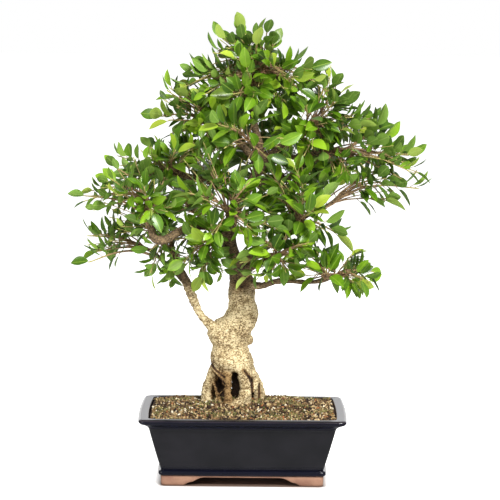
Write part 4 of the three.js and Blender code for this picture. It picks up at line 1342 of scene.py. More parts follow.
@dataclass
class Wood(Assembly):
    """The surface roots, trunk and limbs, grown into one body.

    Attributes:
        root_depth: how far the roots run on down into the grit.
        root_slimmer: how much slimmer than its solid a root is, so that the hollows between stay open.
        knob: middle and radius of the knob on the trunk's right.
        core: the middle of the roots, painted in shade, by x and y: its middle and half sizes, then its top.
        scar: the dark scar on the trunk's front, by x and z.
        hollow: the hollow between the front roots, painted in shade, by x and z.
        scar_back: y behind which the scar darkens nothing; so too hollow_back and groove_back.
        swelling: what the smoothing takes off the stems.
        ripples: height, wavelength, seed and stretch of each layer of the bark's relief.
        old_from: height above which the relief fades.
    """

    root_depth: float = 26.0
    root_slimmer: float = 1.6
    root_foot: float = 0.75
    lobe_share: float = 0.05
    knob: tuple[float, float, float, float] = (9.0, 40.0, 273.0, 10.0)
    core: tuple[float, float, float, float] = (-34.0, 58.0, 46.0, 34.0)
    core_top: float = 228.0
    scar: tuple[float, float, float, float] = (-8.0, 388.0, 15.0, 13.0)
    scar_back: float = 44.0
    hollow: tuple[float, float, float, float] = (-37.0, 178.0, 28.0, 38.0)
    hollow_back: float = 60.0
    groove_width: float = 2.8
    groove_back: float = 52.0
    groove_top: float = 240.0
    limb_share: float = 0.95
    swelling: float = 1.4
    ripples: tuple[tuple[float, float, int, tuple[float, float, float]], ...] = (
        (1.1, 42.0, 31, (1.0, 1.0, 1.0)),
        (0.55, 15.0, 32, (0.7, 0.7, 1.5)),
        (0.35, 8.0, 33, (0.7, 0.7, 1.5)),
    )
    old_from: float = 380.0
    voxel: float = 2.0
    smooth_rounds: int = 6
    trunk_steps: int = 160
    trunk_sides: int = 72
    root_sides: int = 24
    strand_sides: int = 10
    limb_sides: int = 16

    def trunk(self) -> Patch:
        """The trunk: ellipses through its measured places, with three shallow lobes that turn with height.

        The share of swell is lobe_share * sin(3 * angle + height / 30).

        Returns:
            Its surface.
        """
        line = smooth_line(TRUNK[:, :4], self.trunk_steps)
        x, y, z, wide = line.T[..., None]
        deep = np.interp(z, TRUNK[:, 2], TRUNK[:, 4])
        angle = even_angles(self.trunk_sides)
        swell = 1 + self.lobe_share * np.sin(3 * angle + z / 30)
        rings = (x + wide * swell * np.cos(angle), y + deep * swell * np.sin(angle), z + 0 * angle)
        return sheet(np.stack(rings, axis=-1), poles=True)

    def stems(self, lines: Sequence[Sequence[Sequence[float]]], sink: float, sides: int) -> list[Patch]:
        """Round stems along smooth lines.

        Args:
            lines: rows of x, y, z and radius.
            sink: how far each runs on straight down past its last point; roots that do are slimmer.
            sides: points round a stem.

        Returns:
            One surface for each stem.
        """
        made = []
        for rows in lines:
            given = np.array(rows, float)
            given[:, 3] *= self.limb_share
            if sink:
                given[1:-1, 3] -= self.root_slimmer
                foot = (given[-1] - [0, 0, sink, 0]) * [1, 1, 1, self.root_foot]
                given = np.vstack([given, foot])
            fine = smooth_line(given, len(given) * 8)
            made.append(tubes(fine[None, :, :3], fine[None, :, 3], sides))
        return made

    def lump(self) -> Patch:
        """The knob on the trunk's right: a ball by latitude and turn.

        Returns:
            Its surface.
        """
        x, y, z, radius = self.knob
        polar = np.linspace(0.15, math.pi - 0.15, 10)[::-1, None]
        angle = even_angles(16)
        ball = (np.sin(polar) * np.cos(angle), np.sin(polar) * np.sin(angle), np.cos(polar) + 0 * angle)
        return sheet(np.stack(ball, axis=-1) * radius + [x, y, z], poles=True)

    def carved(self, points: Array) -> Array:
        """How deep the grooves cut: depth * exp(-(distance / width) ** 4), for the deepest of the places
        strung along the grooves, with the distance seen from the front.

        Args:
            points: points of the bark.

        Returns:
            The cut at each point, 0 behind the trunk's middle.
        """
        strung = np.concatenate([smooth_line(np.array(rows, float), 24) for rows in GROOVES])
        cut = np.zeros(len(points))
        near = np.flatnonzero((points[:, 2] < self.groove_top) & (points[:, 1] < self.groove_back))
        away = np.linalg.norm(points[near][:, None, [0, 2]] - strung[None, :, :2], axis=-1)
        cut[near] = (strung[:, 2] * np.exp(-((away / self.groove_width) ** 4))).max(axis=1)
        return cut

    def shade_and_scar(self, points: Array, cut: Array) -> Array:
        """How dark the wood is painted: shade between the roots, in the grooves and in the front hollow, and
        the scar's own dark colour.

        Args:
            points: points of the bark.
            cut: how deep the grooves cut there.

        Returns:
            0 to 1: the most of the core between the roots, the scar, the grooves and the front hollow.
        """
        x, y, z = points.T
        # Painted shade between the roots, in the grooves and in the front hollow; the scar is dark of its
        # own.
        core = np.clip((1.02 - in_oval(x, y, self.core)) / 0.3, 0, 1)
        core *= np.clip((self.core_top - z) / 14, 0, 1)
        scar = 0.75 * np.exp(-(in_oval(x, z, self.scar) ** 2)) * (y < self.scar_back)
        grooves = np.clip(cut / 2.4, 0, 0.95)
        hollow = 0.55 * np.clip((1.2 - in_oval(x, z, self.hollow)) / 0.5, 0, 1) * (y < self.hollow_back)
        return np.max([core, scar, grooves, hollow], axis=0)

    def grown(self, piece: Any) -> None:
        """Grows the overlapping stems into one skin, then raises the bark's low relief on it.

        The skin is remeshed in voxels and smoothed, so that every fork gets a fillet. Each point then
        moves along its normal by slow swellings and by ripples that run round the stem, by what the
        smoothing took, and into the grooves.

        Args:
            piece: the object that holds the stems.
        """
        remesh = piece.modifiers.new("skin", "REMESH")
        remesh.mode = "VOXEL"
        remesh.voxel_size = self.voxel * MM
        soften = piece.modifiers.new("soften", "SMOOTH")
        soften.factor = 0.5
        soften.iterations = self.smooth_rounds
        graph = bpy.context.evaluated_depsgraph_get()
        mesh = bpy.data.meshes.new_from_object(piece.evaluated_get(graph))
        piece.modifiers.clear()
        piece.data = mesh
        points = (read(mesh.vertices, "co", np.float32, 3) - self.origin) / MM
        cut = self.carved(points)
        # This mark carries the painted shade and the scar's dark colour to the bark.
        marks = mesh.attributes.new("shade_and_scar", "FLOAT", "POINT")
        marks.data.foreach_set("value", self.shade_and_scar(points, cut))
        low = 1 - np.clip((points[:, 2] - self.old_from) / 80, 0, 0.75)
        relief = sum(high * waves(points * stretch, long, seed) for high, long, seed, stretch in self.ripples)
        relief = low * (relief + self.swelling) - cut
        raised = points + read(mesh.vertex_normals, "vector", np.float32, 3) * relief[:, None]
        mesh.vertices.foreach_set("co", (raised * MM + self.origin).astype(np.float32).ravel())
        mesh.polygons.foreach_set("use_smooth", np.ones(len(mesh.polygons), bool))
        mesh.update()

    def build(self) -> None:
        """Makes the wood and settles it."""
        stems = self.stems(ROOTS, self.root_depth, self.root_sides)
        stems += self.stems(STRANDS, 0.0, self.strand_sides)
        stems += self.stems(list(LIMBS.values()), 0.0, self.limb_sides)
        wood = new_object("ficus_wood", joined([self.trunk(), self.lump(), *stems]), self.origin, [])
        self.grown(wood)
        wood.data.materials.append(BARK.material())
        settle(wood, ["tree"])


# Leafy shoots


@dataclass(frozen=True)
class Pad:
    """A pad of foliage on one limb.

    Attributes:
        limb: the limb that carries it.
        middle: its middle.
        half: its half sizes.
        faces: the way that its shoots fan out round.
        shoots: how many main shoots are spread over it.
        leaf: size of its leaves as a share of the usual.
        tips: where its further shoots end.
    """

    limb: str
    middle: tuple[float, float, float]
    half: tuple[float, float, float]
    faces: tuple[float, float, float]
    shoots: int
    leaf: float
    tips: tuple[tuple[float, float, float], ...] = ()

    def way(self, number: int, count: int, depth: float, turn: float) -> Array:
        """The way out to one shoot of the pad, spread evenly over the part that the pad faces.

        The height along the pad's axis falls from 1 in even steps, and the turn round it grows by the
        golden angle.

        Args:
            number: which shoot.
            count: how many shoots share the pad.
            depth: how far down the axis the last shoot lies.
            turn: turn of the first shoot.

        Returns:
            A unit vector.
        """
        axis = unit(np.array(self.faces, float))
        across = square_to(axis)
        along = np.cross(axis, across)
        height = 1 - ((number + 0.5) / count) * depth
        ring = math.sqrt(max(0.0, 1 - height * height))
        angle = number * GOLDEN_ANGLE + turn
        return axis * height + across * ring * math.cos(angle) + along * ring * math.sin(angle)


PADS = (
    Pad("crownTop", (28, 30, 846), (38, 40, 52), (0, 0, 1), 1, 1.0, ((-2, 30, 892), (52, 22, 868))),
    Pad("crownTop", (12, 30, 772), (112, 128, 72), (0, 0, 1), 6, 1.0, ((-100, 34, 806),)),
    Pad("crownRight", (154, 10, 722), (74, 84, 66), (0.8, -0.2, 0.7), 2, 1.0, ((176, 18, 786),)),
    Pad("crownLeft", (-92, 40, 716), (78, 84, 60), (-0.8, -0.1, 0.8), 2, 0.92, ((-166, 36, 726),)),
    Pad("bend", (-214, -40, 590), (88, 74, 62), (-0.5, -0.4, 0.8), 3, 0.8, ((-316, -14, 568),)),
    Pad("leftHigh", (-196, 20, 622), (82, 84, 50), (-0.7, 0.4, 0.8), 2, 0.8),
    Pad("leftFork", (-262, 8, 478), (64, 60, 34), (-1, 0, 0.25), 1, 0.8, ((-306, 10, 474), (-284, -14, 446))),
    Pad("leftLow", (-150, -22, 478), (48, 56, 44), (-0.1, -0.5, 0.4), 1, 0.82),
    Pad("front", (-34, -92, 562), (92, 56, 74), (0, -1, 0.55), 3, 0.95),
    Pad("frontHigh", (6, -84, 692), (84, 52, 58), (0, -1, 0.5), 2, 1.0),
    Pad("rightMid", (132, -34, 528), (66, 76, 60), (0.6, -0.6, 0.5), 2, 1.05),
    Pad("rightLong", (262, 20, 592), (72, 56, 44), (1, 0, 0.15), 1, 1.05, ((342, 20, 586),)),
    Pad("rightHigh", (256, 18, 664), (70, 64, 48), (1, 0, 0.3), 1, 1.05, ((326, 20, 654),)),
    Pad("lowRight", (214, 4, 416), (48, 52, 30), (1, 0, 0.4), 1, 0.92, ((238, -6, 408),)),
    Pad("back", (34, 168, 624), (104, 50, 84), (0, 1, 0.5), 3, 1.0),
    Pad("backLeft", (-126, 138, 548), (76, 56, 50), (-0.6, 1, 0.5), 2, 0.88),
    Pad("backRight", (128, 126, 606), (72, 56, 50), (0.7, 1, 0.4), 2, 1.0),
    Pad("lowFront", (66, -70, 474), (92, 46, 46), (0.1, -1, 0.35), 3, 1.0),
    Pad("lowLeft", (-84, -62, 490), (70, 44, 46), (-0.3, -1, 0.2), 2, 0.95),
    Pad("lowRight", (128, -14, 432), (58, 46, 34), (0.2, -1, 0.5), 2, 0.95),
    Pad("leftHigh", (-112, -6, 652), (62, 60, 44), (-0.1, -0.6, 0.9), 2, 0.95),
)

# Pads of finer shoots only, which round the crown off between the others.
ROUNDING = (
    Pad("crownTop", (-84, 20, 792), (62, 60, 46), (-0.6, -0.5, 0.6), 10, 0.95),
    Pad("crownTop", (110, 16, 802), (60, 60, 46), (0.6, -0.5, 0.6), 10, 0.95),
    Pad("crownTop", (22, -20, 812), (70, 50, 50), (0, -1, 0.6), 8, 0.95),
    Pad("bend", (-172, -66, 536), (48, 40, 48), (-0.1, -1, 0.1), 8, 0.85),
    Pad("crownRight", (206, 14, 716), (50, 50, 40), (1, -0.3, 0.3), 5, 0.95),
    Pad("leftHigh", (-150, -20, 640), (60, 50, 44), (-0.3, -0.6, 0.6), 5, 0.85),
    Pad("lowLeft", (-84, -24, 432), (62, 44, 34), (-0.3, -0.6, -0.5), 8, 0.85),
    Pad("leftLow", (-150, -24, 430), (50, 36, 36), (-0.2, -0.6, -0.8), 5, 0.8),
    Pad("bend", (-284, -20, 566), (50, 44, 36), (-1, -0.3, 0.2), 6, 0.8),
    Pad("front", (26, -60, 514), (60, 40, 52), (0.2, -1, 0), 8, 1.0),
    Pad("rightHigh", (194, 0, 628), (50, 40, 30), (0.3, -0.8, 0.2), 5, 0.95),
    Pad("crownTop", (20, 16, 862), (44, 40, 38), (0, -0.4, 1), 6, 0.95),
    Pad("lowFront", (40, -50, 436), (56, 44, 26), (0, -0.8, -0.3), 5, 0.8),
    Pad("leftLow", (-222, -18, 520), (70, 50, 34), (-0.6, -0.7, 0), 6, 0.8),
    Pad("front", (-70, -40, 650), (70, 60, 50), (-0.3, -1, 0.3), 5, 0.9),
    Pad("rightMid", (84, -50, 600), (70, 50, 50), (0.3, -1, 0.3), 8, 0.95),
    Pad("crownRight", (110, -30, 680), (60, 50, 50), (0.2, -1, 0.2), 7, 0.95),
    Pad("crownTop", (-36, 14, 862), (40, 36, 34), (-0.4, -0.3, 1), 5, 0.95),
    Pad("crownRight", (162, 16, 792), (36, 36, 40), (0.7, -0.3, 0.8), 4, 0.95),
    Pad("crownLeft", (-142, 20, 766), (40, 36, 34), (-0.7, -0.3, 0.8), 4, 0.9),
    Pad("rightHigh", (316, 8, 622), (34, 26, 24), (1, -0.4, -0.2), 4, 0.95),
    Pad("crownTop", (4, 84, 776), (84, 44, 50), (0, 0.8, 0.7), 8, 1.0),
    Pad("back", (30, 100, 690), (84, 44, 54), (0, 1, 0.8), 8, 1.0),
    Pad("backLeft", (-60, 104, 600), (70, 44, 46), (-0.2, 1, 0.6), 6, 0.95),
    Pad("backRight", (76, 96, 540), (70, 40, 40), (0.3, 1, 0.1), 5, 1.0),
    Pad("backLeft", (-130, 84, 640), (60, 46, 46), (-0.8, 0.8, 0.6), 5, 0.9),
    Pad("backRight", (150, 76, 640), (60, 46, 46), (0.8, 0.8, 0.5), 5, 0.95),
    Pad("crownLeft", (-70, -20, 720), (60, 50, 50), (-0.2, -1, 0.2), 7, 0.95),
)

# Where only the main shoots have leaves, between the right boughs and in front of the fork of the boughs:
# x, z, half width, half height, and the y that it ends at.
CLEARINGS = ((208, 496, 36, 48, 400), (22, 676, 50, 42, 16), (-14, 500, 26, 34, 30))


class Boxes:
    """Boxes in the crown that nothing new may cross: middles, directions, half sizes and balls round
    them."""

    def __init__(self, room: int = 9000) -> None:
        """Makes room.

        Args:
            room: how many boxes there can be.
        """
        self.middle = np.zeros((room, 3))
        self.axes = np.zeros((room, 3, 3))
        self.half = np.zeros((room, 3))
        self.ball = np.zeros(room)
        self.shoot = np.full(room, -1)
        self.count = 0

    def add(self, boxes: Sequence[Box], shoot: int = -1) -> None:
        """Adds boxes.

        Args:
            boxes: middle, three directions and half sizes of each.
            shoot: number of the shoot whose twig they are, or -1.
        """
        for middle, axes, half in boxes:
            i = self.count
            self.middle[i], self.axes[i], self.half[i] = middle, axes, half
            self.ball[i] = np.linalg.norm(half)
            self.shoot[i] = shoot
            self.count += 1

    def clear(self, box: Box, besides: int = -2) -> bool:
        """Whether a box stays apart from the ones here: for each some direction, square to a face or to an
        edge of both, separates the two.

        Args:
            box: its middle, directions and half sizes.
            besides: number of a shoot whose twig doesn't count.

        Returns:
            True where it stays apart from all of them.
        """
        middle, axes, half = box
        between = self.middle[: self.count] - middle
        near = np.linalg.norm(between, axis=1) <= self.ball[: self.count] + np.linalg.norm(half)
        near = np.flatnonzero(near & (self.shoot[: self.count] != besides))
        if not len(near):
            return True
        between, theirs, sizes = between[near], self.axes[near], self.half[near]
        crossed = np.cross(axes[None, :, None], theirs[:, None]).reshape(len(between), 9, 3)
        ways = np.concatenate([np.broadcast_to(axes, theirs.shape), theirs, crossed], axis=1)
        reach = np.abs(ways @ axes.T) @ half
        reach += (np.abs(np.einsum("nwk,nak->nwa", ways, theirs)) * sizes[:, None]).sum(axis=-1)
        gap = np.abs(np.einsum("nwk,nk->nw", ways, between))
        real = (ways**2).sum(axis=-1) > 1e-6
        return bool(((gap > reach) & real).any(axis=1).all())


def box_between(start: Array, end: Array, normal: Array, wide: float, thick: float) -> Box:
    """The box round a straight piece.

    Args:
        start: where the piece starts.
        end: where it ends.
        normal: a direction across it.
        wide: half size square to both.
        thick: half size along the normal.

    Returns:
        Its middle, its directions and its half sizes.
    """
    length = float(np.linalg.norm(end - start))
    along = (end - start) / length
    across = unit(np.cross(normal, along))
    axes = np.stack([along, across, np.cross(along, across)])
    return (start + end) / 2, axes, np.array([length / 2, wide, thick])


def stem_boxes(path: Array, widths: Array, spare: float) -> list[Box]:
    """Boxes along a stem, each a little longer than its length so that bends are covered too.

    Args:
        path: the stem's points.
        widths: radius at each.
        spare: how far the boxes reach past the stem.

    Returns:
        The boxes.
    """
    made = []
    for start, end, wide in zip(path, path[1:], np.maximum(widths[1:], widths[:-1]) + spare):
        way = unit(end - start)
        made.append(box_between(start - way * spare, end + way * spare, square_to(way), wide, wide))
    return made


@dataclass
class Shoot:
    """One leafy shoot: its stub on the limb, its twig and the leaves on it."""

    pad: Pad
    stub: Array
    twig: Array
    stub_boxes: list[Box]
    twig_boxes: list[Box]
    leaves: list[Leaf] = field(default_factory=list)


@dataclass
class Foliage(Assembly):
    """The leafy shoots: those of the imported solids, dressed finely, and the thinner ones between them.

    Attributes:
        nodes: names of the shoots' CAD nodes.
        room: lowest and highest corner of the whole object from there, in millimetres.
        leaf_widths: least and most width of a leaf as a share of its usual width.
        leaf_lift: how strongly a leaf points up; face_lift for its upper face.
        face_stray: how far that face looks astray.
        stub_tapers: radius at both ends of a stub as shares of twig_radius; twig_tapers at a twig's points.
        stem_radii: radius at the limb of a main shoot, of another and of a bare one, as they are drawn.
        stem_taper: share of that radius at the last leaf.
        bud: distance past the last leaf and radius of a bud's rings.
        edge_shares: where between a pad's middle and its edge a main shoot ends; filler_shares for others.
        fold: how far a leaf's edges rise, as a share of its width, in the solids; cup times that here.
        sag: how far its tip hangs, as a share of its length; lean for how far it bends to a side.
        ripple: height of the waves of its edge.
        tone: middle and spread of the leaves' tones.
        young_from: share of the twig past which a leaf may be young; young_share of them are.
        spreads: angle between twig and leaf, in degrees, at the first and at the last leaf.
        stations: shares of a blade's length where half_widths gives its share of the half width.
        blade_room: how much larger than its box a blade is that stands in a filler shoot.
        stalk_radii: radius of the leaf's stalk at stalk_shares of the leaf's length.
    """

    nodes: Sequence[str]
    room: Array
    seed: int = 20
    leaf_length: float = 52.0
    leaf_width_share: float = 0.44
    leaf_widths: tuple[float, float] = (0.88, 1.08)
    leaf_lift: float = 0.18
    face_lift: float = 0.55
    face_stray: float = 0.35
    leaf_thickness: float = 0.7
    fold: float = 0.1
    cup: float = 1.7
    sag: float = 0.16
    lean: float = 0.06
    ripple: float = 0.55
    ripples: float = 11.0
    tone: tuple[float, float] = (0.42, 0.2)
    young_from: float = 0.72
    young_share: float = 0.3
    twig_radius: float = 1.9
    stub_tapers: tuple[float, ...] = (1.62, 1.0044)
    twig_tapers: tuple[float, ...] = (1.0, 0.81, 0.62)
    twig_sides: int = 7
    stem_radii: tuple[float, float, float] = (3.1, 2.2, 1.7)
    stem_taper: float = 0.42
    bud: tuple[tuple[float, float], ...] = ((3.0, 1.15), (6.5, 0.9), (9.0, 0.25))
    start_share: float = 0.38
    edge_shares: tuple[float, float] = (0.78, 0.9)
    gap: float = 0.4
    spare: float = 1.4
    leaves_on_shoot: int = 10
    leaves_from: float = 0.3
    spreads: tuple[float, float] = (66.0, 24.0)
    draws: int = 60
    leaf_draws: int = 40
    filler_share: float = 2.4
    filler_shares: tuple[float, float] = (0.4, 0.92)
    filler_leaves: int = 10
    filler_leaf_draws: int = 24
    bare: int = 5
    main_depth: float = 1.25
    filler_depth: float = 1.55
    stations: tuple[float, ...] = (0.0, 0.06, 0.17, 0.31, 0.46, 0.6, 0.73, 0.84, 0.93, 1.0)
    half_widths: tuple[float, ...] = (0.0, 0.3, 0.66, 0.91, 1.0, 0.96, 0.8, 0.55, 0.26, 0.0)
    blade_room: tuple[float, float, float] = (1.15, 1.5, 1.0)
    stalk_share: float = 0.2
    stalk_shares: tuple[float, ...] = (0.0, 0.1, 0.225)
    stalk_radii: tuple[float, ...] = (0.95, 0.75, 0.6)

    def lay(
        self, pad: Pad, way: Array, tip: Optional[Sequence[float]], share: float, dice: Dice, stray: Array
    ) -> Shoot:
        """One shoot's lines: a curve from near its limb's end to its tip, which leaves along the limb and
        rises a little, cut in two at start_share.

        Args:
            pad: the pad it belongs to.
            way: its way out.
            tip: where it ends, or None for a place in the pad that lies its way out.
            share: share of the pad's half size that such a place lies out, or 0 to draw one near the edge.
            dice: source of the draws.
            stray: how far the tip is moved.

        Returns:
            The shoot, without leaves.
        """
        outwards = way * np.array(pad.half, float) * (share or dice.between(*self.edge_shares))
        end = (np.array(pad.middle, float) + outwards if tip is None else np.array(tip, float)) + stray
        rows = np.array(LIMBS[pad.limb], float)
        limb = smooth_line(rows, len(rows))[:, :3]
        start = limb[len(limb) - 1 - math.floor(dice.between(0, 2.4))]
        limb_way = unit(limb[-1] - limb[-2])
        reach = float(np.linalg.norm(end - start))
        rise = UP * reach * dice.between(0.02, 0.12)
        bend = start + limb_way * reach * 0.32 + way * reach * 0.12 + rise

        def at(t: float) -> Array:
            """Returns the curve's point at a share of its length, by its three control points."""
            return (1 - t) ** 2 * start + 2 * (1 - t) * t * bend + t * t * end

        stub = np.array([at(0.0), at(self.start_share)])
        twig = np.array([at(mix(self.start_share, 1, step / 2)) for step in range(3)])
        nearby = 0.0001
        twig[0] += unit(at(self.start_share + nearby) - at(self.start_share - nearby)) * self.gap
        widths = (self.twig_radius * np.array(tapers) for tapers in (self.stub_tapers, self.twig_tapers))
        boxes = (stem_boxes(line, wide, self.spare) for line, wide in zip((stub, twig), widths))
        return Shoot(pad, stub, twig, *boxes)

    def main_shoots(self, crown: Boxes) -> list[Shoot]:
        """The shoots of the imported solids: each in the first of its draws that crosses no limb and no
        other shoot.

        Args:
            crown: boxes of the trunk and limbs.

        Returns:
            The shoots, in the order of their nodes.
        """
        laid: list[Shoot] = []
        lines, twigs = Boxes(400), Boxes(200)
        for pad in PADS:
            for i in range(pad.shoots + len(pad.tips)):
                dice = Dice(self.seed + len(laid) * 31)
                spread = i < pad.shoots
                outwards = unit(np.array(pad.faces, float))
                way = pad.way(i, pad.shoots, self.main_depth, pad.middle[0]) if spread else outwards
                tip = None if spread else pad.tips[i - pad.shoots]
                for draw in range(self.draws):
                    shoot = self.lay(pad, way, tip, 0.0, dice, dice.spread(draw * 0.7))
                    free = all(crown.clear(box) and lines.clear(box) for box in shoot.twig_boxes)
                    if free and all(twigs.clear(box) for box in shoot.stub_boxes):
                        lines.add(shoot.twig_boxes + shoot.stub_boxes)
                        twigs.add(shoot.twig_boxes)
                        laid.append(shoot)
                        break
        return laid

    def leaf_place(
        self, path: Array, share: float, turn: float, spread: float, length: float, dice: Dice
    ) -> Leaf:
        """A leaf's place on a twig.

        It points the spread's angle away from the twig and a little up, and its upper face looks back
        along the twig and up.

        Args:
            path: the twig's points.
            share: how far along the twig its stalk leaves.
            turn: how far round the twig.
            spread: angle from the twig.
            length: length with its stalk.
            dice: source of its lean and width.

        Returns:
            Base, way, normal, and an array of length and width.
        """
        at = share * (len(path) - 1)
        low = min(math.floor(at), len(path) - 2)
        base = mix(path[low], path[low + 1], at - low)
        ahead = unit(path[low + 1] - path[low])
        across = square_to(ahead)
        out = across * math.cos(turn) + np.cross(ahead, across) * math.sin(turn)
        way = unit(ahead * math.cos(spread) + out * math.sin(spread) + UP * self.leaf_lift)
        face = ahead * math.sin(spread) - out * math.cos(spread) + UP * self.face_lift
        face = face + dice.spread(self.face_stray)
        normal = unit(face - way * face.dot(way))
        width = length * self.leaf_width_share * dice.between(*self.leaf_widths)
        return base, way, normal, np.array([length, width])

    def leaf_boxes(self, leaf: Leaf, close: bool) -> tuple[Box, Box]:
        """The boxes round a leaf's stalk and round its blade.

        Args:
            leaf: base, way, normal and sizes.
            close: whether the blade may brush others, so that its box takes in only its middle.

        Returns:
            Both boxes.
        """
        base, way, normal, (length, width) = leaf
        rise = self.fold * width * 0.75
        end = 0.9 if close else 1.01
        tip = base + way * end * length + normal * (rise - self.sag * length * end)
        wide, thick = (width * 0.34, 0.8) if close else (width * 0.51, 2.7)
        stalk = box_between(base + way * 0.06 * length, base + way * 0.24 * length, normal, 2, 1.4)
        blade = box_between(base + way * 0.2 * length + normal * rise, tip, normal, wide, thick)
        return stalk, blade

    def inside(self, blade: Box) -> bool:
        """Whether a blade's box, with some room for its ripples, lies within the whole object's and outside
        the clearings.

        Args:
            blade: the box.

        Returns:
            True where it does.
        """
        middle, axes, half = blade
        reach = np.abs(axes.T) @ (half * self.blade_room) + 4
        kept = all(in_oval(middle[0], middle[2], oval) > 1 or middle[1] > back for *oval, back in CLEARINGS)
        return bool(kept and (middle - reach > self.room[0]).all() and (middle + reach < self.room[1]).all())

    def leaf_out(
        self, shoot: Shoot, number: int, taken: Boxes, seed: int, count: int, draws: int, close: bool = False
    ) -> None:
        """Sets leaves one after another round a shoot's twig, each in the first of its draws that stands
        clear of what is there.

        Args:
            shoot: the shoot, which gets the leaves.
            number: number of its twig in the taken boxes.
            taken: what is there, which gets their boxes.
            seed: seed of the draws.
            count: how many leaves.
            draws: how often each is tried.
            close: whether the leaves may brush others.
        """
        dice = Dice(seed)
        own = Boxes(40)
        own.add(shoot.twig_boxes)
        turn = dice.between(0, 2 * math.pi)
        for i in range(count):
            share = i / (count - 1)
            turn += GOLDEN_ANGLE
            for draw in range(draws):
                spread = math.radians(mix(*self.spreads, share) + dice.between(-10, 10))
                length = self.leaf_length * shoot.pad.leaf * dice.between(0.86, 1.14) * (1 - draw * 0.008)
                length *= dice.between(0.66, 1.08) if close else 1.0
                twist = turn + dice.between(-0.3, 0.3) * (1 + draw * 0.4)
                along = mix(self.leaves_from, 0.97, share)
                leaf = self.leaf_place(shoot.twig, along, twist, spread, length, dice)
                stalk, blade = self.leaf_boxes(leaf, close)
                fits = self.inside(blade) if close else taken.clear(stalk, number)
                if fits and taken.clear(blade, number) and own.clear(blade):
                    shoot.leaves.append((*leaf, share))
                    own.add([blade])
                    taken.add([stalk, blade])
                    break

    def filler_shoots(self, bare: int) -> list[Shoot]:
        """Thinner shoots inside the pads, between the main ones: the same golden spiral further down each
        pad's axis, each with a bend in its bare length.

        Args:
            bare: how many a pad gets, or 0 for a number that goes with its main shoots.

        Returns:
            The shoots, without leaves.
        """
        made = []
        for index, pad in enumerate(PADS + ROUNDING):
            share = self.filler_share if pad in PADS else 1
            count = bare or round(share * (pad.shoots + len(pad.tips)))
            dice = Dice(self.seed * 7 + index * 13 + bare)
            for i in range(count):
                way = pad.way(i, count, self.filler_depth, pad.middle[1] + 1.9 + bare)
                shoot = self.lay(pad, way, None, dice.between(*self.filler_shares), dice, dice.spread(6))
                reach = float(np.linalg.norm(shoot.stub[1] - shoot.stub[0]))
                bend = shoot.stub.mean(axis=0) + dice.spread(0.09 * reach)
                shoot.stub = np.insert(shoot.stub, 1, bend, axis=0)
                made.append(shoot)
        return made

    def blade(self) -> tuple[Patch, Array]:
        """The faces of one leaf, and where each of its points lies on it.

        The upper and the lower face are grids of stations along the blade by three places across, which
        meet at the edge; the stalk is a three-sided stem.

        Returns:
            The faces, and rows of: share of the length, share of the half width, millimetres sideways,
            millimetres up.
        """
        stations, half = np.array(self.stations)[:, None], np.array(self.half_widths)[:, None]
        across = np.array([-1.0, 0.0, 1.0])
        at = mix(self.stalk_share, 1, stations)
        bulge = self.leaf_thickness * (1 - across**2) * np.sin(math.pi * stations) ** 0.5
        side = half * across
        faces = [np.stack([at + 0 * side, side, 0 * side, up * bulge], axis=-1) for up in (0.5, -0.5)]
        quads = sheet(faces[0][..., :3], closed=False).corners.reshape(-1, 4)
        quads = np.vstack([quads[:, ::-1], quads + side.size])
        local = np.concatenate(faces).reshape(-1, 4)
        uv = np.tile(np.stack([(side + 1) / 2, stations + 0 * side], axis=-1).reshape(-1, 2), (2, 1))
        _, keep, where = np.unique(local.round(6), axis=0, return_index=True, return_inverse=True)
        local, quads = local[keep], where.reshape(-1)[quads]
        mask = quads != np.roll(quads, -1, axis=1)
        edge = np.interp(local[:, 0], at[:, 0], half[:, 0])
        blade = Patch(
            local[:, :3], quads[mask], mask.sum(axis=1), uv[keep], np.repeat([0, 1], len(quads) // 2),
            crease=np.isclose(np.abs(local[:, 1]), edge),
        )
        angle = even_angles(3) + math.pi / 2
        along, radius = np.array(self.stalk_shares)[:, None], np.array(self.stalk_radii)[:, None]
        ring = (along + 0 * angle, 0 * radius * angle, radius * np.cos(angle), radius * np.sin(angle))
        ring = np.stack(ring, axis=-1)
        stalk = sheet(ring[..., :3], poles=True)
        stalk.slots[:] = 2
        poles = np.array([[share, 0, 0, 0] for share in (self.stalk_shares[0], self.stalk_shares[-1])])
        return joined([blade, stalk]), np.vstack([local, ring.reshape(-1, 4), poles])

    def leaf_points(self, leaves: Sequence[Leaf], local: Array, seed: int) -> Array:
        """The points of many leaves: each bends down with the square of the share along it, folds up to
        both sides of its rib and waves a little at its edge.

        Args:
            leaves: base, way, normal and sizes of each.
            local: where each point lies on a leaf.
            seed: seed of the small differences.

        Returns:
            Leaves by points by x, y, z.
        """
        draws = np.random.default_rng(seed)
        base, way, normal, size = (np.array([leaf[i] for leaf in leaves]) for i in range(4))
        across = np.cross(normal, way)
        length, width = size[:, 0:1], size[:, 1:2]
        share, side, sideways, up = (local[None, :, i] for i in range(4))
        sag = self.sag * draws.uniform(0.75, 1.2, (len(leaves), 1))
        fold = self.fold * self.cup * draws.uniform(0.5, 1.7, (len(leaves), 1))
        phase = draws.uniform(0, 2 * math.pi, (len(leaves), 1))
        ripple = self.ripple * np.sin(share * self.ripples + phase + side * 2) * side**2
        rise = np.abs(side) * fold * width - sag * length * share**2 + up + ripple
        over = side * width * 0.5 + sideways
        lean = draws.uniform(-self.lean, self.lean, (len(leaves), 1)) * length * share**2
        return (
            base[:, None]
            + way[:, None] * (share * length)[..., None]
            + across[:, None] * (over + lean)[..., None]
            + normal[:, None] * rise[..., None]
        )

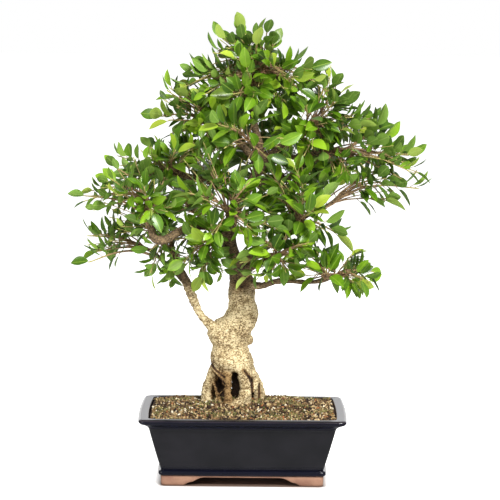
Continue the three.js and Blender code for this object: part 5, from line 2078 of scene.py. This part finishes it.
    def leaves(self, shoots: Sequence[Shoot], seed: int) -> Patch:
        """The leaves of some shoots as one surface, each with its tone and its youth.

        Args:
            shoots: the shoots.
            seed: seed of the tones.

        Returns:
            The leaves.
        """
        draws = np.random.default_rng(seed)
        placed = [leaf for shoot in shoots for leaf in shoot.leaves]
        along = np.array([leaf[4] for leaf in placed])
        shape, local = self.blade()
        points = self.leaf_points(placed, local, seed + 1)
        tone = np.clip(draws.normal(*self.tone, len(placed)), 0.02, 0.95)
        chosen = draws.uniform(0, 1, len(placed)) < self.young_share
        young = np.clip((along - self.young_from) * 2.4, 0, 1) * chosen
        return repeated(shape, points, {"tone": tone, "young": young * draws.uniform(0.4, 1.0, len(placed))})

    def twigs(self, shoots: Sequence[Shoot], radius: float) -> Patch:
        """The stems of some shoots, from inside the limb to a pointed bud past the last leaf.

        Args:
            shoots: the shoots.
            radius: radius at the limb.

        Returns:
            The stems, with a mark that turns green towards the tip.
        """
        bud = np.array(self.bud)
        paths, radii = [], []
        for shoot in shoots:
            rows = np.vstack([shoot.stub, shoot.twig[1:]])
            line = smooth_line(np.column_stack([rows, np.zeros(len(rows))]), 9)[:, :3]
            way = unit(line[-1] - line[-2])
            paths.append(np.vstack([line, line[-1] + way * bud[:, :1]]))
            radii.append(np.concatenate([radius * np.linspace(1, self.stem_taper, len(line)), bud[:, 1]]))
        made = tubes(np.array(paths), np.array(radii), self.twig_sides)
        count = len(paths[0])
        share = np.concatenate([np.repeat(np.arange(count) / (count - 1), self.twig_sides), [0.0, 1.0]])
        made.marks = {"fresh": np.tile(np.clip((share - 0.5) * 2.2, 0, 1), len(paths))}
        return made

    def build(self) -> None:
        """Makes the twigs and leaves and settles them."""
        crown = Boxes()
        crown.add(stem_boxes(TRUNK[:, :3], TRUNK[:, 3:].max(axis=1), 1))
        for rows in LIMBS.values():
            line = smooth_line(np.array(rows, float), len(rows))
            crown.add(stem_boxes(line[:, :3], line[:, 3], 1))
        main = self.main_shoots(crown)
        for number, shoot in enumerate(main):
            crown.add(shoot.stub_boxes)
            crown.add(shoot.twig_boxes, number)
        for number, shoot in enumerate(main):
            seed = self.seed * 3 + number * 17
            self.leaf_out(shoot, number, crown, seed, self.leaves_on_shoot, self.leaf_draws)
        self.compare(main)
        filler = self.filler_shoots(0)
        for number, shoot in enumerate(filler, len(main)):
            crown.add(shoot.twig_boxes, number)
        for number, shoot in enumerate(filler, len(main)):
            seed = self.seed * 5 + number * 19
            self.leaf_out(shoot, number, crown, seed, self.filler_leaves, self.filler_leaf_draws, True)
        LOG.info("leaves: %d and %d", *(sum(len(s.leaves) for s in group) for group in (main, filler)))
        twig = TWIG.material()
        finishes = [LEAF.material(), UNDERSIDE.material(), twig]
        bare = self.filler_shoots(self.bare)
        stems = joined([self.twigs(*each) for each in zip((main, filler, bare), self.stem_radii)])
        pieces = (
            ("leaves_outer", self.leaves(main, 41), finishes),
            ("leaves_inner", self.leaves(filler, 43), finishes),
            ("young_twigs", stems, [twig]),
        )
        for name, patch, materials in pieces:
            settle(new_object(name, patch, self.origin, materials), self.nodes)

    def compare(self, shoots: Sequence[Shoot]) -> None:
        """Reports how far the leaves' bases and tips lie outside the boxes of their nodes.

        Args:
            shoots: the main shoots.
        """
        worst = 0.0
        for shoot, node in zip(shoots, self.nodes):
            low, high = (np.array(corner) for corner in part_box(node))
            for base, way, normal, (length, _), _ in shoot.leaves:
                for place in (base, base + way * length - normal * self.sag * length):
                    at = place * MM + self.origin
                    worst = max(worst, float(np.max([low - at, at - high])))
        count = len(self.nodes)
        LOG.info("main shoots %d of %d nodes, furthest outside %.2f mm", len(shoots), count, worst / MM)


# The studio


@dataclass
class Studio(Assembly):
    """A white paper floor, soft light and the camera of the photograph.

    Attributes:
        camera_place: the camera's place from there, in millimetres.
        sky: how bright the sky is to the object; to the camera it is white.
    """

    floor_size: float = 60.0
    camera_place: tuple[float, float, float] = (11.8, -4600.0, 979.0)
    camera_pitch: float = -6.43
    camera_roll: float = 0.506
    lens: float = 165.9
    sky: float = 0.29
    aim: tuple[float, float, float] = (0.0, 0.0, 0.5)

    def floor(self) -> None:
        """Lays the paper: a flat sheet under the feet."""
        steps = np.linspace(-0.5, 0.5, 3) * self.floor_size / MM
        x, y = np.meshgrid(steps, steps)
        patch = sheet(np.stack([x, y, 0 * x], axis=-1), closed=False)
        paper = replace(PAPER, middle=(float(self.origin[0]), float(self.origin[1]), 0.0))
        floor = new_object("paper_floor", patch, np.zeros(3), [paper.material()])
        floor.visible_glossy = False
        floor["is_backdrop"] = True

    def light(self, name: str, place: Sequence[float], size: float, power: float) -> None:
        """Hangs a soft box that looks at the middle of the tree.

        Args:
            name: name of the lamp.
            place: where it hangs, in metres.
            size: length of its side in metres.
            power: its power in watts.
        """
        data = bpy.data.lights.new(name, "AREA")
        data.size = size
        data.spread = math.radians(150)
        data.energy = power
        lamp = bpy.data.objects.new(name, data)
        lamp.location = place
        x, y, z = np.array(self.aim) - place
        lamp.rotation_euler = (math.atan2(math.hypot(x, y), -z), 0.0, math.atan2(y, x) - math.pi / 2)
        bpy.context.scene.collection.objects.link(lamp)

    def camera(self) -> None:
        """Sets up the camera where the photograph's was."""
        data = bpy.data.cameras.new("camera")
        data.sensor_width = 36.0
        data.lens = self.lens
        data.clip_end = 200.0
        made = bpy.data.objects.new("camera", data)
        made.location = np.array(self.camera_place) * MM + self.origin
        made.rotation_mode = "XYZ"
        tilt, roll = math.radians(90 + self.camera_pitch), math.radians(self.camera_roll)
        # Roll turns about the view axis first, then the camera tilts up from looking down.
        made.rotation_euler = (
            math.atan2(math.sin(tilt) * math.cos(roll), math.cos(tilt)),
            -math.asin(math.sin(tilt) * math.sin(roll)),
            math.atan2(math.cos(tilt) * math.sin(roll), math.cos(roll)),
        )
        bpy.context.scene.collection.objects.link(made)
        bpy.context.scene.camera = made

    def build(self) -> None:
        """Makes the floor, the light, the sky and the camera."""
        self.floor()
        self.light("key", (1.2, -2.5, 2.8), 1.1, 120)
        self.light("fill", (-2.1, -2.3, 1.4), 1.8, 26)
        self.light("back", (0.0, 3.2, 1.25), 3.0, 22)
        world = bpy.data.worlds.new("studio white")
        world.use_nodes = True
        seen = add_node(world, "LightPath", {}).outputs["Is Camera Ray"]
        strength = add_node(world, "MapRange", {"Value": seen, "To Min": self.sky, "To Max": 1.0})
        feed(world.node_tree.nodes["Background"], {"Color": "#ffffff", "Strength": strength})
        bpy.context.scene.world = world
        bpy.context.scene.view_settings.view_transform = "Standard"
        self.camera()


def size_rows(bounds: Sequence[Any]) -> list[list[float]]:
    """Returns the two corners of a box as plain lists."""
    return [[float(value) for value in corner] for corner in bounds]


def main() -> None:
    """Builds the studio and the pieces in order."""
    logging.basicConfig(level=logging.INFO, format="%(name)s: %(message)s", stream=sys.stdout)
    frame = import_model()
    packed = size_rows(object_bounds())
    low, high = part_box("pot")
    origin = np.array([(low[0] + high[0]) / 2, (low[1] + high[1]) / 2, low[2]])
    Studio(origin).build()
    pot = Pot(origin)
    pot.build()
    screen = SCREEN.material()
    for name in ("drain_screen_left", "drain_screen_right"):
        node = frame["nodes"][name]
        node.data.materials.clear()
        node.data.materials.append(screen)
    Filling(origin, pot).build()
    Wood(origin).build()
    shoots = sorted(name for name in frame["nodes"] if name.startswith("shoot_"))
    Foliage(origin, shoots, (np.array(packed) - origin) / MM).build()
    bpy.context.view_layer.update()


if __name__ == "__main__":
    main()
